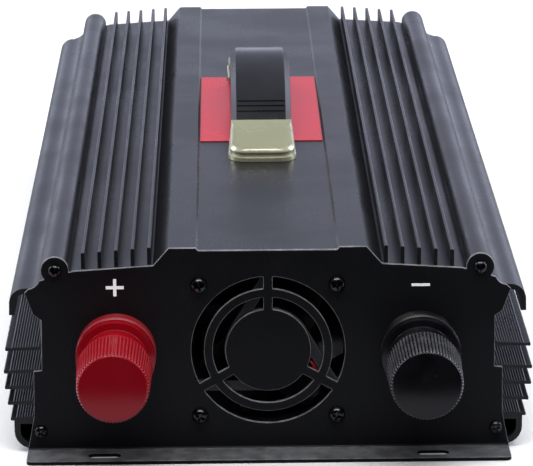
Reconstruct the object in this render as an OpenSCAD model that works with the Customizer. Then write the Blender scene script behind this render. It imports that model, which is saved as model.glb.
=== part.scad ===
// Power inverter: a finned two-piece aluminium case closed by folded steel end panels.
// The origin is the centre of the four mounting slots on the resting plane. +Z is up,
// the battery terminals and the fan face -Y, and the AC outlets face +Y.

/* [Case] */
// Length of the two extrusions, front to rear
case_length = 410; // [340:1:520]
// Width over the side fins
case_width = 193; // [188:1:260]
// Height from the resting plane to the top deck
case_height = 78; // [74:0.5:110]
// Wall of the top cover
cover_wall = 2; // [1.6:0.1:2.2]
// Wall of the base
base_wall = 2; // [1.6:0.1:2.6]
// Floor of the base
floor_wall = 2.2; // [2:0.1:3]
// Thickness of the folded end panels
panel_thickness = 1.5; // [1:0.1:2]

/* [Deck and fins] */
// Width of the flat top deck
deck_width = 71.6; // [64:0.2:80]
// Width of the shallow label recess along the deck
recess_width = 50.4; // [40:0.2:56]
// Depth of the label recess
recess_depth = 1; // [0.4:0.1:1.5]
// Drop from the deck to the floor of the fin valleys
valley_depth = 6.5; // [5:0.1:8]
// Number of fins in each valley
top_fins = 5; // [3:1:6]
// Thickness of a top fin
top_fin_thickness = 1.4; // [1:0.1:2]
// Number of fins on each side wall
side_fins = 5; // [4:1:5]
// Pitch of the side fins
side_fin_pitch = 6.05; // [5:0.05:6.5]
// Thickness of a side fin
side_fin_thickness = 1.3; // [1:0.1:1.8]
// Pitch of the fine grooves along the side fins
groove_pitch = 0.95; // [0.8:0.05:1.4]

/* [Feet] */
// How far each folded foot stands out of its panel
foot_depth = 13; // [10:0.5:20]
// Distance between the two slots of one foot
slot_spacing = 120; // [90:1:150]
// Length of a mounting slot
slot_length = 12; // [8:0.5:16]
// Width of a mounting slot
slot_width = 5; // [4:0.1:6]

/* [Fan] */
// Side of the square fan
fan_size = 60; // [50:1:60]
// Depth of the fan
fan_depth = 25; // [15:1:30]
// Distance from the fan's edge to its screws
fan_screw_inset = 5; // [4.5:0.1:6]
// Number of fan blades
fan_blades = 7; // [5:1:9]
// Radius of the blank disc in the middle of the grille
grille_disc_radius = 15.6; // [10:0.1:16]
// Width of the grille's spokes
spoke_width = 3.4; // [2:0.1:5]

/* [Terminals] */
// Distance from a terminal's axis to the case's side
terminal_inset = 41.2; // [38:0.1:48]
// Diameter of the terminal studs
stud_diameter = 8; // [6:0.5:10]
// Thread pitch of the studs
stud_pitch = 1.25; // [1:0.05:1.5]
// Diameter of the fixed terminal bases
terminal_base_diameter = 29.3; // [26:0.1:32]
// How far the fixed base stands out of the panel
terminal_base_height = 6; // [4:0.5:8]
// Length of the knobs
knob_length = 36; // [30:0.5:42]
// Diameter of a knob at its outer end
knob_diameter = 25.8; // [22:0.1:28]

/* [Handle] */
// Length of the handle over its end caps
handle_length = 167; // [150:1:200]
// Length of an end cap
cap_length = 29.5; // [26:0.5:34]
// Width of an end cap at its outer end
cap_width = 27; // [26:0.5:32]
// Width of the strap
strap_width = 24.6; // [20:0.2:26]
// Thickness of the strap
strap_thickness = 5; // [4:0.1:6]
// Height of the strap's top above the deck
strap_height = 25; // [20:0.5:34]
// Length of the label between the end caps
label_length = 112; // [90:1:130]

/* [AC side] */
// Distance between the two AC sockets
socket_spacing = 52; // [50:0.5:56]
// Width of a socket's face plate
socket_width = 48; // [46:0.5:50]
// Height of a socket's face plate
socket_height = 48; // [46:0.5:50]
// Width of the live and neutral apertures
blade_width = 8.6; // [7:0.1:9.5]
// Height of the live and neutral apertures
blade_height = 5.6; // [5:0.1:6.5]
// Depth of the apertures behind the socket's face
aperture_depth = 16; // [12:0.5:18]
// Tilt of the power switch on each side of level
switch_tilt = 12; // [8:1:14]
// Number of air slots in the rear panel
vent_count = 5; // [3:1:5]

/* [Electronics] */
// Gap between the main board and the rails beside it
board_edge_gap = 3.6; // [3:0.1:7]
// Thickness of the boards
board_thickness = 1.6; // [1:0.1:2]
// Height of the stand-offs under the main board
standoff_height = 6; // [5:0.5:10]
// Distance between the rows of transformers
transformer_pitch = 50; // [46:1:54]
// Diameter of the input capacitors
input_cap_diameter = 18; // [16:0.5:18]
// Diameter of the output capacitors
output_cap_diameter = 22; // [18:0.5:22]
// Number of transistors on each side
transistors_per_side = 8; // [4:1:8]

/* [Fits] */
// Radial clearance of a turning or screwing fit
running_gap = 0.05; // [0.02:0.01:0.1]
// Clearance round a piece that passes through a wall
assembly_gap = 0.3; // [0.2:0.05:0.5]
// Radial clearance of a screw in its hole
screw_gap = 0.2; // [0.1:0.05:0.4]

/* [Hidden] */
$fn = 64;
eps = 0.01;

// Case
half_length = case_length / 2;
half_width = case_width / 2;
panel_face = half_length + panel_thickness;
recess_half = recess_width / 2;
deck_half = deck_width / 2;
recess_z = case_height - recess_depth;
base_z = panel_thickness;
floor_z = base_z + floor_wall;
mid_z = case_height / 2;
wall_x = half_width - 13.9;
wall_inner = wall_x - base_wall;

// Cover section: places of its corners from the case's side and the deck
valley_in = [deck_half + 5.7, case_height - valley_depth];
valley_out = [half_width - 26.2, case_height - valley_depth - 1.8];
neck_centre = [half_width - 9.1, case_height - 9.8];
neck_radius = 5.2;
lip_centre = [half_width - 8.3, case_height - 20.8];
lip_radius = 5.7;
lip_end = [half_width - 2.5, case_height - 25.1];
cover_boss = [half_width - 19.5, case_height - 8];
cover_boss_radius = 5.1;
top_fin_in = valley_in[0] + 1.35;
top_fin_out = valley_out[0] - 3.5;
top_fin_drop = 1.8;

// Base section
flare_z = case_height - 26;
flare_tip = [half_width - 10.2, case_height - 17.6];
base_boss = [half_width - 13.1, base_z + 7];
base_boss_radius = 3.6;
chamber_x = half_width - 3.3;
chamber_top = 13.2;
chamber_wall = 2.2;
chamber_radius = 6.5;
floor_half = chamber_x - chamber_radius + 0.4;
fin_tips = [half_width - 2, half_width - 1.1, half_width - 0.2, half_width, half_width - 0.7];
fin_droop = 0.4;
top_side_fin_gap = 8.7;
groove_depth = 0.35;
rail_thickness = 3;
rail_bottom = 14;
rail_height = 24;
rail_face = wall_inner - rail_thickness;

// Screws
case_screw_radius = 1.5;
case_screw_head = 2.45;
case_screw_length = 10;
fan_screw_radius = 1.7;
fan_screw_head = 3.1;

// Feet
bend_radius = 1;
foot_width = case_width - 16.4;
foot_corner = 2;
slot_y = panel_face + 7;

// Fan
fan_radius = fan_size / 2;
fan_bore = fan_radius - 1.5;
fan_back = -half_length + fan_depth;
fan_screw_offset = fan_radius - fan_screw_inset;
grille_gap = (fan_radius - 2 - grille_disc_radius - 3.2) / 2;
grille_rings = [grille_disc_radius, grille_disc_radius + grille_gap,
                fan_radius - 2 - grille_gap, fan_radius - 2];
spoke_angles = [90, 210, 330];
hub_radius = grille_disc_radius + 0.3;
strut_in = hub_radius - 3.9;
strut_thickness = 3;
shaft_radius = 1.5;
bearing_radius = 4;
rotor_radius = hub_radius - 0.9;
rotor_wall = 1.4;
rotor_front = -half_length + strut_thickness + 0.8;
blade_tip = fan_bore - 0.6;
blade_pitch = 42;
lead_radius = 0.7;
lead_offsets = [strut_in - 1, strut_in - 2.8];
notch_drop = 15;
notch_width = 5.4;
notch_depth = 2.4;

// Terminals
terminal_x = half_width - terminal_inset;
stud_radius = stud_diameter / 2;
base_front = panel_face + terminal_base_height;
terminal_neck = stud_radius + 3;
collar_radius = stud_radius + 4.6;
collar_depth = 1.5;
washer_radius = stud_radius + 5.2;
washer_thickness = 1.5;
stud_tip = base_front + washer_thickness + 16.5;
stud_tail = 25;
knob_collar_radius = 14.4;
knob_collar_height = 4.5;
knob_neck_radius = knob_diameter / 2 - 1.2;
knob_grip_radius = knob_diameter / 2 + 0.8;
knob_grip_start = 0.44 * knob_length;
insulator_thickness = 3;
busbar_thickness = 3;
busbar_width = 18;
nut_height = 6.5;
nut_radius = stud_radius * 1.85;

// Handle
half_handle = handle_length / 2;
mouth_y = half_handle - cap_length;
cap_end_height = 5.8;
cap_mouth_height = 10;
cap_mouth_width = 24;
cap_corner = 6;
strap_end_z = recess_z + 4.2;
strap_tuck = 11;
strap_bend = 12;
strap_rise = case_height + strap_height - strap_thickness / 2 - strap_end_z;
core_width = strap_width - 8;
core_thickness = 1;
handle_screw_x = 7;
handle_screw_y = half_handle - 9;
handle_screw_radius = 1.7;
label_thickness = 0.35;
label_front = -mouth_y + 3.5;

// AC side
socket_z = mid_z - 1;
socket_xs = [-socket_spacing, 0];
socket_face = panel_face + 3;
socket_body = [35, 41];
socket_back = half_length - 16;
live_x = 9;
live_z = -5;
earth_z = 11;
contact_thickness = 0.8;
socket_screw_x = 20.3;
control_x = 42;
switch_z = mid_z + 14;
switch_size = [15, 21];
switch_cavity = [10.4, 16.6];
switch_face = panel_face + 2;
switch_back = half_length - 13;
pivot_y = panel_face - 3;
pivot_radius = 1.2;
rocker_width = switch_cavity[0] - 0.6;
rocker_radius = switch_cavity[1] / 2 - 0.3;
light_xs = [control_x - 6, control_x + 6];
light_z = mid_z - 5;
light_radius = 2.5;
ground_z = mid_z - 20;
ground_radius = 2.5;
ground_core_radius = 2.05;
ground_nut_height = 4;
ground_nut_radius = 4.6;
vent_pitch = 5;
vent_x = 58;
vent_width = 2.8;
vent_bottom = 17;
vent_top = case_height - 17;

// Boards
board_half_width = rail_face - board_edge_gap;
board_z = floor_z + standoff_height;
board_top = board_z + board_thickness;
board_front = -half_length + 33;
board_rear = half_length - 27;
board_middle = (board_front + board_rear) / 2;
sheet_thickness = 0.5;
standoff_radius = 3.2;
board_screw_radius = 1.4;
standoff_x = board_half_width - 6;
standoff_places = [
    for (x = [-standoff_x, standoff_x], y = [board_front + 8, board_middle, board_rear - 8]) [x, y]
];
fuse_y = board_front + 30;
input_cap_y = board_front + 52;
output_y = board_rear - 46;
control_board_y = board_rear - 19;
block_y = board_rear - 8;
transformer_x = 27;
transformer_ys = [for (i = [-1:1]) i * transformer_pitch];
core_size = [42, 40, 30];
winding_gap = 0.3;
transistor_pitch = 19;
transistor_size = [5, 15.5, 20];
transistor_z = 17;
pad_thickness = 0.5;
clamp_thickness = 2;
clamp_screw_radius = 1.4;

// ---- Outlines -------------------------------------------------------------

function unit(v) = v / norm(v);
function sideways(a, b) = let (d = unit(b - a)) [-d[1], d[0]];
function arc(c, r, from, to, n) =
    [for (i = [0:n]) let (a = from + (to - from) * i / n) c + r * [cos(a), sin(a)]];
function backwards(p) = [for (i = [len(p) - 1:-1:0]) p[i]];
function mirrored(p) = [for (q = backwards(p)) [-q[0], q[1]]];
function rest(p) = [for (i = [1:len(p) - 1]) p[i]];

// A line of points moved to its left by t, with mitred corners
function beside(p, t) = [
    for (i = [0:len(p) - 1])
        let (before = max(i - 1, 0), after = min(i, len(p) - 2),
             n0 = sideways(p[before], p[before + 1]),
             n1 = sideways(p[after], p[after + 1]),
             m = unit(n0 + n1))
        p[i] + t / (m * n0) * m
];

// A wall of thickness t on the right-hand side of a line
function wall(p, t) = concat(p, backwards(beside(p, -t)));

// The cover's outer surface from its centre line to its neck
top_line = concat([
    [recess_half, recess_z], [recess_half + 0.8, case_height],
    [deck_half, case_height], valley_in, valley_out
], arc(neck_centre, neck_radius, 203, 262, 5));
cover_line = concat(top_line, arc(lip_centre, lip_radius, 95, -5, 10), [lip_end]);

// One side of an end panel, from the centre line down to its bend
panel_line = concat(top_line, [
    [half_width - 8.3, case_height - 16.4],
    [half_width - 11.2, case_height - 24.6],
    [wall_x, flare_z - 0.5],
    [wall_x, 32], [wall_x + 3, 31.7], [wall_x + 3.2, 14.5],
    [foot_width / 2 - 0.2, panel_thickness + bend_radius]
]);

// The centre line of half the handle's strap, from its end to the middle of its arch
arch_angle = 2 * atan(strap_rise / mouth_y);
arch_radius = mouth_y / sin(arch_angle) - strap_bend;
strap_line = concat(
    [[-mouth_y - strap_tuck, strap_end_z]],
    arc([-mouth_y, strap_end_z + strap_bend], strap_bend, -90, arch_angle - 90, 6),
    rest(arc([0, strap_end_z + strap_rise - arch_radius], arch_radius, 90 + arch_angle, 90, 12))
);
whole_strap = concat(strap_line, rest(mirrored(strap_line)));

// ---- Building blocks ------------------------------------------------------

module both_sides() {
    children();
    mirror([1, 0, 0]) children();
}

// A flat outline in X and Z, pulled along Y
module along_y(from, to) {
    translate([0, to, 0]) rotate([90, 0, 0]) linear_extrude(to - from) children();
}

// A flat outline in Y and Z, pulled along X
module along_x(from, to) {
    translate([from, 0, 0]) rotate([90, 0, 90]) linear_extrude(to - from) children();
}

module rod_y(r, from, to, x = 0, z = 0) {
    translate([x, from, z]) rotate([-90, 0, 0]) cylinder(r = r, h = to - from);
}

module box_between(low, high) {
    translate(low) cube(high - low);
}

module rounded_square(size, r) {
    translate([-size[0] / 2 + r, -size[1] / 2]) square([size[0] - 2 * r, size[1]]);
    translate([-size[0] / 2, -size[1] / 2 + r]) square([size[0], size[1] - 2 * r]);
    for (x = [-1, 1], y = [-1, 1])
        translate([x * (size[0] / 2 - r), y * (size[1] / 2 - r)]) circle(r);
}

module slot(length, width) {
    square([length - width, width], center = true);
    for (x = [-1, 1]) translate([x * (length - width) / 2, 0]) circle(width / 2);
}

// A cross-head pan screw along +Z, with the underside of its head at Z = 0
module pan_screw(r, length, head_r, head_h) {
    difference() {
        union() {
            translate([0, 0, -length]) cylinder(r = r, h = length + eps);
            intersection() {
                cylinder(r = head_r, h = head_h);
                translate([0, 0, head_h - head_r * 1.5]) sphere(head_r * 1.5);
            }
        }
        for (a = [0, 90])
            rotate(a) translate([-head_r * 0.6, -head_r * 0.13, head_h * 0.45])
                cube([head_r * 1.2, head_r * 0.26, head_h]);
    }
}

// A swept round lead through hand-picked places, smoothed between them
function curve_point(p, i, t) =
    let (a = p[max(i - 1, 0)], b = p[i], c = p[i + 1], d = p[min(i + 2, len(p) - 1)])
    0.5 * (2 * b + (c - a) * t + (2 * a - 5 * b + 4 * c - d) * t * t
           + (3 * b - a - 3 * c + d) * t * t * t);
function curve(p, n) = concat(
    [for (i = [0:len(p) - 2], j = [0:n - 1]) curve_point(p, i, j / n)], [p[len(p) - 1]]);

module lead(places, r, steps = 4, sides = 8) {
    p = curve(places, steps);
    last = len(p) - 1;
    points = [
        for (i = [0:last])
            let (d = unit(p[min(i + 1, last)] - p[max(i - 1, 0)]),
                 u = unit(cross(d, [0.31, 0.2, 0.93])),
                 v = cross(d, u))
            for (j = [0:sides - 1]) p[i] + r * (cos(360 * j / sides) * u + sin(360 * j / sides) * v)
    ];
    skin = [
        for (i = [0:last - 1], j = [0:sides - 1], half = [0, 1])
            let (a = i * sides + j, b = i * sides + (j + 1) % sides)
            half == 0 ? [a, b, b + sides] : [a, b + sides, a + sides]
    ];
    ends = [[for (j = [sides - 1:-1:0]) j], [for (j = [0:sides - 1]) last * sides + j]];
    polyhedron(points, concat(skin, ends));
}

// ---- Case -----------------------------------------------------------------

// A round-topped fin that stands in the cover's valley
module top_fin(i) {
    f = i / (top_fins - 1);
    x = top_fin_in + f * (top_fin_out - top_fin_in);
    top = case_height - top_fin_drop * f - top_fin_thickness / 2;
    foot = valley_in[1] - f * top_fin_drop - cover_wall / 2;
    translate([x, top]) circle(top_fin_thickness / 2);
    translate([x - top_fin_thickness / 2, foot]) square([top_fin_thickness, top - foot]);
}

module top_cover() {
    color("#2b2d33")
    difference() {
        union() {
            along_y(-half_length, half_length)
                polygon(wall(concat(mirrored(cover_line), cover_line), cover_wall));
            both_sides() {
                along_y(-half_length, half_length) translate(cover_boss) circle(cover_boss_radius);
                for (i = [0:top_fins - 1]) along_y(-half_length, half_length) top_fin(i);
            }
        }
        for (x = [-1, 1])
            rod_y(case_screw_radius + screw_gap / 2, -half_length - 1, half_length + 1,
                  x * cover_boss[0], cover_boss[1]);
        for (x = [-1, 1], y = [-1, 1])
            translate([x * handle_screw_x, y * handle_screw_y, recess_z - 2 * cover_wall])
                cylinder(r = handle_screw_radius + screw_gap, h = 3 * cover_wall);
    }
}

// A side fin from the wall to its tip, grooved along its upper face
module side_fin(tip, z) {
    reach = tip - wall_x;
    teeth = floor((reach - 2) / groove_pitch);
    function top_at(d) = z + side_fin_thickness / 2 - fin_droop * d / reach;
    polygon(concat(
        [[wall_x - base_wall / 2, z - side_fin_thickness / 2],
         [wall_x - base_wall / 2, top_at(0)]],
        [for (i = [0:teeth - 1], s = [0, 1])
            let (d = 1 + (i + s / 2) * groove_pitch)
            [wall_x + d, top_at(d) - s * groove_depth]],
        [[tip - 0.3, top_at(reach)], [tip, top_at(reach) - 0.3],
         [tip, top_at(reach) - side_fin_thickness + 0.3],
         [tip - 0.3, top_at(reach) - side_fin_thickness]]
    ));
}

// The side wall's foot: a hollow chamber along the lower corner
chamber_line = concat(
    [[wall_x - base_wall, chamber_top], [chamber_x, chamber_top]],
    arc([chamber_x - chamber_radius, base_z + chamber_radius], chamber_radius, 0, -90, 6)
);

module base_chassis() {
    color("#26282d")
    difference() {
        union() {
            box_between([-floor_half, -half_length, base_z], [floor_half, half_length, floor_z]);
            both_sides() {
                along_y(-half_length, half_length)
                    polygon(wall([[wall_x, base_z], [wall_x, flare_z], flare_tip], -base_wall));
                along_y(-half_length, half_length) polygon(wall(chamber_line, chamber_wall));
                box_between([rail_face, -half_length, rail_bottom],
                            [wall_inner + eps, half_length, rail_bottom + rail_height]);
                along_y(-half_length, half_length) translate(base_boss) circle(base_boss_radius);
                for (i = [0:side_fins - 1])
                    along_y(-half_length, half_length)
                        side_fin(fin_tips[min(i, 4)],
                                 chamber_top + 0.2 + i * side_fin_pitch
                                 + (i == 4 ? top_side_fin_gap - side_fin_pitch : 0));
            }
        }
        for (x = [-1, 1])
            rod_y(case_screw_radius + screw_gap / 2, -half_length - 1, half_length + 1,
                  x * base_boss[0], base_boss[1]);
        for (p = standoff_places) {
            translate([p[0], p[1], base_z - 1])
                cylinder(r = board_screw_radius + screw_gap, h = floor_wall + 2);
            translate([p[0], p[1], base_z - eps])
                cylinder(r1 = 2.9, r2 = board_screw_radius + screw_gap, h = 1.4);
        }
        for (side = [-1, 1], y = clamp_screw_ys())
            translate([side * (rail_face - 1), y, clamp_z()]) rotate([0, side * 90, 0])
                cylinder(r = clamp_screw_radius + running_gap, h = rail_thickness + 1.6);
    }
}

// The folded sheet of the front panel, with its corner screw holes and foot slots
module panel_blank() {
    difference() {
        union() {
            along_y(-panel_face, -half_length) {
                polygon(concat(mirrored(panel_line), panel_line));
                both_sides() translate(cover_boss) circle(cover_boss_radius);
            }
            along_x(-foot_width / 2, foot_width / 2) intersection() {
                translate([-panel_face - bend_radius, panel_thickness + bend_radius])
                    difference() {
                        circle(bend_radius + panel_thickness);
                        circle(bend_radius);
                    }
                translate([-panel_face - bend_radius, 0])
                    square([panel_thickness + bend_radius, panel_thickness + bend_radius]);
            }
            difference() {
                linear_extrude(panel_thickness)
                    translate([0, -panel_face - foot_depth / 2])
                        rounded_square([foot_width, foot_depth], foot_corner);
                box_between([-half_width, -panel_face - bend_radius, -1],
                            [half_width, -half_length, panel_thickness + 1]);
            }
        }
        for (x = [-1, 1]) {
            rod_y(case_screw_radius + screw_gap, -panel_face - 1, -half_length + 1,
                  x * cover_boss[0], cover_boss[1]);
            rod_y(case_screw_radius + screw_gap, -panel_face - 1, -half_length + 1,
                  x * base_boss[0], base_boss[1]);
            translate([x * slot_spacing / 2, -slot_y, -1]) linear_extrude(panel_thickness + 2)
                slot(slot_length, slot_width);
        }
    }
}

// The stamped fan guard: two rings of openings broken by three spokes
module grille_openings() {
    difference() {
        union() {
            difference() {
                circle(grille_rings[3]);
                circle(grille_rings[2]);
            }
            difference() {
                circle(grille_rings[1]);
                circle(grille_rings[0]);
            }
        }
        for (a = spoke_angles)
            rotate(a) translate([0, -spoke_width / 2]) square([fan_radius, spoke_width]);
    }
}

module front_panel() {
    color("#1d1e21")
    difference() {
        panel_blank();
        along_y(-panel_face - 1, -half_length + 1) translate([0, mid_z]) {
            grille_openings();
            for (x = [-1, 1], z = [-1, 1])
                translate([x, z] * fan_screw_offset) circle(fan_screw_radius + screw_gap);
            for (x = [-1, 1])
                translate([x * terminal_x, 0]) circle(terminal_neck + assembly_gap);
        }
    }
}

module rear_panel() {
    color("#1d1e21")
    difference() {
        mirror([0, 1, 0]) panel_blank();
        along_y(half_length - 1, panel_face + 1) {
            for (x = socket_xs) translate([x, socket_z]) {
                square(socket_body + [2, 2] * assembly_gap, center = true);
                for (s = [-1, 1]) translate([s * socket_screw_x, 0]) circle(1.5 + screw_gap);
            }
            translate([control_x, switch_z])
                square(switch_size - [2, 2] + [2, 2] * assembly_gap, center = true);
            for (x = light_xs) translate([x, light_z]) circle(light_radius + assembly_gap / 2);
            translate([control_x, ground_z]) circle(ground_core_radius + screw_gap);
            for (i = [0:vent_count - 1])
                translate([vent_x + i * vent_pitch - vent_width / 2, vent_bottom])
                    square([vent_width, vent_top - vent_bottom]);
        }
    }
}

module panel_screws() {
    for (x = [-1, 1], p = [cover_boss, base_boss])
        translate([x * p[0], -panel_face, p[1]]) rotate([90, 0, 0])
            pan_screw(case_screw_radius, case_screw_length, case_screw_head, 1.7);
}

module front_panel_screws() {
    color("#17181a") panel_screws();
}

module rear_panel_screws() {
    color("#17181a") mirror([0, 1, 0]) panel_screws();
}

module label_plate() {
    color("#c3202c")
    difference() {
        box_between([-recess_half + 0.3, label_front, recess_z],
                    [recess_half - 0.3, label_front + label_length, recess_z + label_thickness]);
        box_between([-cap_width / 2 - assembly_gap, mouth_y - assembly_gap, recess_z - 1],
                    [cap_width / 2 + assembly_gap, half_handle + assembly_gap, recess_z + 1]);
        for (x = [-1, 1])
            translate([x * handle_screw_x, handle_screw_y, recess_z - 1]) cylinder(r = 4, h = 2);
    }
}

// ---- Fan ------------------------------------------------------------------

module at_fan() {
    translate([0, -half_length, mid_z]) rotate([-90, 0, 0]) mirror([0, 1, 0]) children();
}

// The three struts run from the hub to the rim, side-on to the hub like a pinwheel
module strut_outline() {
    for (k = [0:2])
        rotate(60 - 120 * k) polygon([
            [0, strut_in], [0, hub_radius], [fan_bore - 6, hub_radius], [fan_bore, hub_radius + 5],
            [fan_bore, strut_in]
        ]);
}

module fan_frame() {
    color("#1b1c1f")
    at_fan() difference() {
        union() {
            linear_extrude(fan_depth) difference() {
                rounded_square([fan_size, fan_size], 4);
                circle(fan_bore);
            }
            linear_extrude(strut_thickness) {
                circle(hub_radius);
                intersection() {
                    strut_outline();
                    circle(fan_bore + 0.5);
                }
            }
            cylinder(r = bearing_radius, h = fan_depth - 6);
        }
        for (x = [-1, 1], y = [-1, 1])
            translate([x * fan_screw_offset, y * fan_screw_offset, -1])
                cylinder(r = fan_screw_radius + running_gap, h = fan_depth + 2);
        translate([0, 0, 1.5]) cylinder(r = shaft_radius + running_gap, h = fan_depth);
        translate([fan_bore - 8, -notch_drop - notch_width / 2, -1])
            cube([fan_size, notch_width, 1 + notch_depth]);
    }
}

module fan_rotor() {
    depth = fan_back - rotor_front - 1.2;
    color("#232427")
    at_fan() translate([0, 0, rotor_front + half_length]) {
        difference() {
            cylinder(r = rotor_radius, h = depth);
            translate([0, 0, -1]) cylinder(r = rotor_radius - rotor_wall, h = depth + 1 - rotor_wall);
        }
        translate([0, 0, -1.5]) cylinder(r = shaft_radius, h = depth + 1);
        for (i = [0:fan_blades - 1])
            rotate(360 * i / fan_blades) intersection() {
                difference() {
                    translate([0, 0, 0.8]) cylinder(r = blade_tip, h = depth - 1.6);
                    translate([0, 0, -1]) cylinder(r = rotor_radius - 0.7, h = depth + 2);
                }
                translate([0, 0, depth / 2]) rotate([blade_pitch, 0, 0])
                    translate([rotor_radius / 2, -0.6, -20]) cube([fan_size / 2, 1.2, 40]);
            }
    }
}

module fan_stator() {
    depth = fan_depth - 10;
    color("#a8572a")
    at_fan() translate([0, 0, strut_thickness + 1]) difference() {
        union() {
            cylinder(r = bearing_radius + 2.5, h = depth - 3);
            for (k = [0:3]) rotate(90 * k) translate([0, -2.2, 0])
                cube([rotor_radius - rotor_wall - 1.2, 4.4, depth - 3]);
        }
        translate([0, 0, -1]) cylinder(r = bearing_radius, h = depth + 2);
    }
}

module fan_screws() {
    color("#17181a")
    for (x = [-1, 1], z = [-1, 1])
        translate([x * fan_screw_offset, -panel_face, mid_z + z * fan_screw_offset])
            rotate([90, 0, 0])
                pan_screw(fan_screw_radius, fan_depth - 5, fan_screw_head, 2.2);
}

// ---- Battery terminals ----------------------------------------------------

module terminal_base(side) {
    translate([side * terminal_x, 0, mid_z]) difference() {
        union() {
            rotate([90, 0, 0]) translate([0, 0, panel_face])
                rotate_extrude() polygon([
                    [0, 0], [terminal_base_diameter / 2, 0],
                    [terminal_base_diameter / 2, terminal_base_height - 1],
                    [terminal_base_diameter / 2 - 1, terminal_base_height],
                    [0, terminal_base_height]
                ]);
            rod_y(terminal_neck, -panel_face - eps, -half_length + insulator_thickness);
        }
        rod_y(stud_radius + running_gap, -base_front - 1, -half_length + 10);
        rod_y(collar_radius + running_gap, -base_front - 1, -base_front + collar_depth);
    }
}

// The stud's tip is chamfered by one thread
module stud(side) {
    color("#b08d4a")
    translate([side * terminal_x, 0, mid_z]) {
        rod_y(stud_radius, -stud_tip + stud_pitch, -half_length + stud_tail);
        translate([0, -stud_tip, 0]) rotate([-90, 0, 0])
            cylinder(r1 = stud_radius - stud_pitch / 2, r2 = stud_radius, h = stud_pitch);
        rod_y(collar_radius, -base_front, -base_front + collar_depth);
    }
}

module washer(side) {
    color("#c9b06a")
    translate([side * terminal_x, 0, mid_z]) difference() {
        rod_y(washer_radius, -base_front - washer_thickness, -base_front);
        rod_y(stud_radius + running_gap, -base_front - washer_thickness - 1, -base_front + 1);
    }
}

module knob(side) {
    translate([side * terminal_x, 0, mid_z]) difference() {
        rotate([90, 0, 0]) translate([0, 0, base_front]) rotate_extrude() polygon([
            [0, 0], [knob_collar_radius - 0.6, 0], [knob_collar_radius, 0.6],
            [knob_collar_radius, knob_collar_height - 0.3],
            [knob_collar_radius - 0.3, knob_collar_height],
            [knob_neck_radius, knob_collar_height + 0.3],
            [knob_grip_radius, knob_grip_start],
            [knob_diameter / 2, knob_length - 1], [knob_diameter / 2 - 0.6, knob_length],
            [0, knob_length]
        ]);
        rod_y(stud_radius + running_gap, -stud_tip - 4, -base_front + 1);
        rod_y(washer_radius + assembly_gap, -base_front - washer_thickness, -base_front + 1);
    }
}

module positive_terminal_base() { color("#c21421") terminal_base(-1); }
module negative_terminal_base() { color("#151517") terminal_base(1); }
module positive_stud() { stud(-1); }
module negative_stud() { stud(1); }
module positive_washer() { washer(-1); }
module negative_washer() { washer(1); }
module positive_knob() { color("#c21421") knob(-1); }
module negative_knob() { color("#151517") knob(1); }

module terminal_insulators() {
    color("#8b1e22")
    for (side = [-1, 1]) translate([side * terminal_x, 0, mid_z]) difference() {
        rod_y(terminal_neck + 5, -half_length, -half_length + insulator_thickness);
        rod_y(terminal_neck, -half_length - 1, -half_length + insulator_thickness + 1);
    }
}

// Each busbar hangs from its stud and stands on the front edge of the main board
module busbar(side) {
    front = -half_length + insulator_thickness;
    x = side * terminal_x - busbar_width / 2;
    color("#b8693a") difference() {
        union() {
            box_between([x, front, board_top],
                        [x + busbar_width, front + busbar_thickness, mid_z + busbar_width / 2]);
            box_between([x, front, board_top],
                        [x + busbar_width, board_front + 14, board_top + busbar_thickness]);
        }
        rod_y(stud_radius + screw_gap, front - 1, front + busbar_thickness + 1,
              side * terminal_x, mid_z);
    }
}

module positive_busbar() { busbar(-1); }
module negative_busbar() { busbar(1); }

module terminal_nuts() {
    front = -half_length + insulator_thickness + busbar_thickness;
    color("#c9c9c4")
    for (side = [-1, 1], k = [0, 1])
        translate([side * terminal_x, 0, mid_z]) difference() {
            translate([0, front + k * (nut_height + 0.4), 0]) rotate([-90, 0, 0])
                cylinder(r = nut_radius, h = nut_height, $fn = 6);
            rod_y(stud_radius + running_gap, front - 1, front + 2 * nut_height + 4);
        }
}

// ---- Handle ---------------------------------------------------------------

module handle_strap() {
    color("#1c1c1e")
    difference() {
        along_x(-strap_width / 2, strap_width / 2)
            polygon(wall(beside(whole_strap, strap_thickness / 2), strap_thickness));
        along_x(-core_width / 2 - assembly_gap, core_width / 2 + assembly_gap)
            polygon(wall(beside(whole_strap, core_thickness / 2 + assembly_gap),
                         core_thickness + 2 * assembly_gap));
        for (x = [-1, 1], y = [-1, 1])
            translate([x * handle_screw_x, y * handle_screw_y, 0])
                cylinder(r = 3.2, h = case_height + 40);
    }
}

module handle_core() {
    color("#9a9c9e")
    along_x(-core_width / 2, core_width / 2)
        polygon(wall(beside(whole_strap, core_thickness / 2), core_thickness));
}

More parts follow.
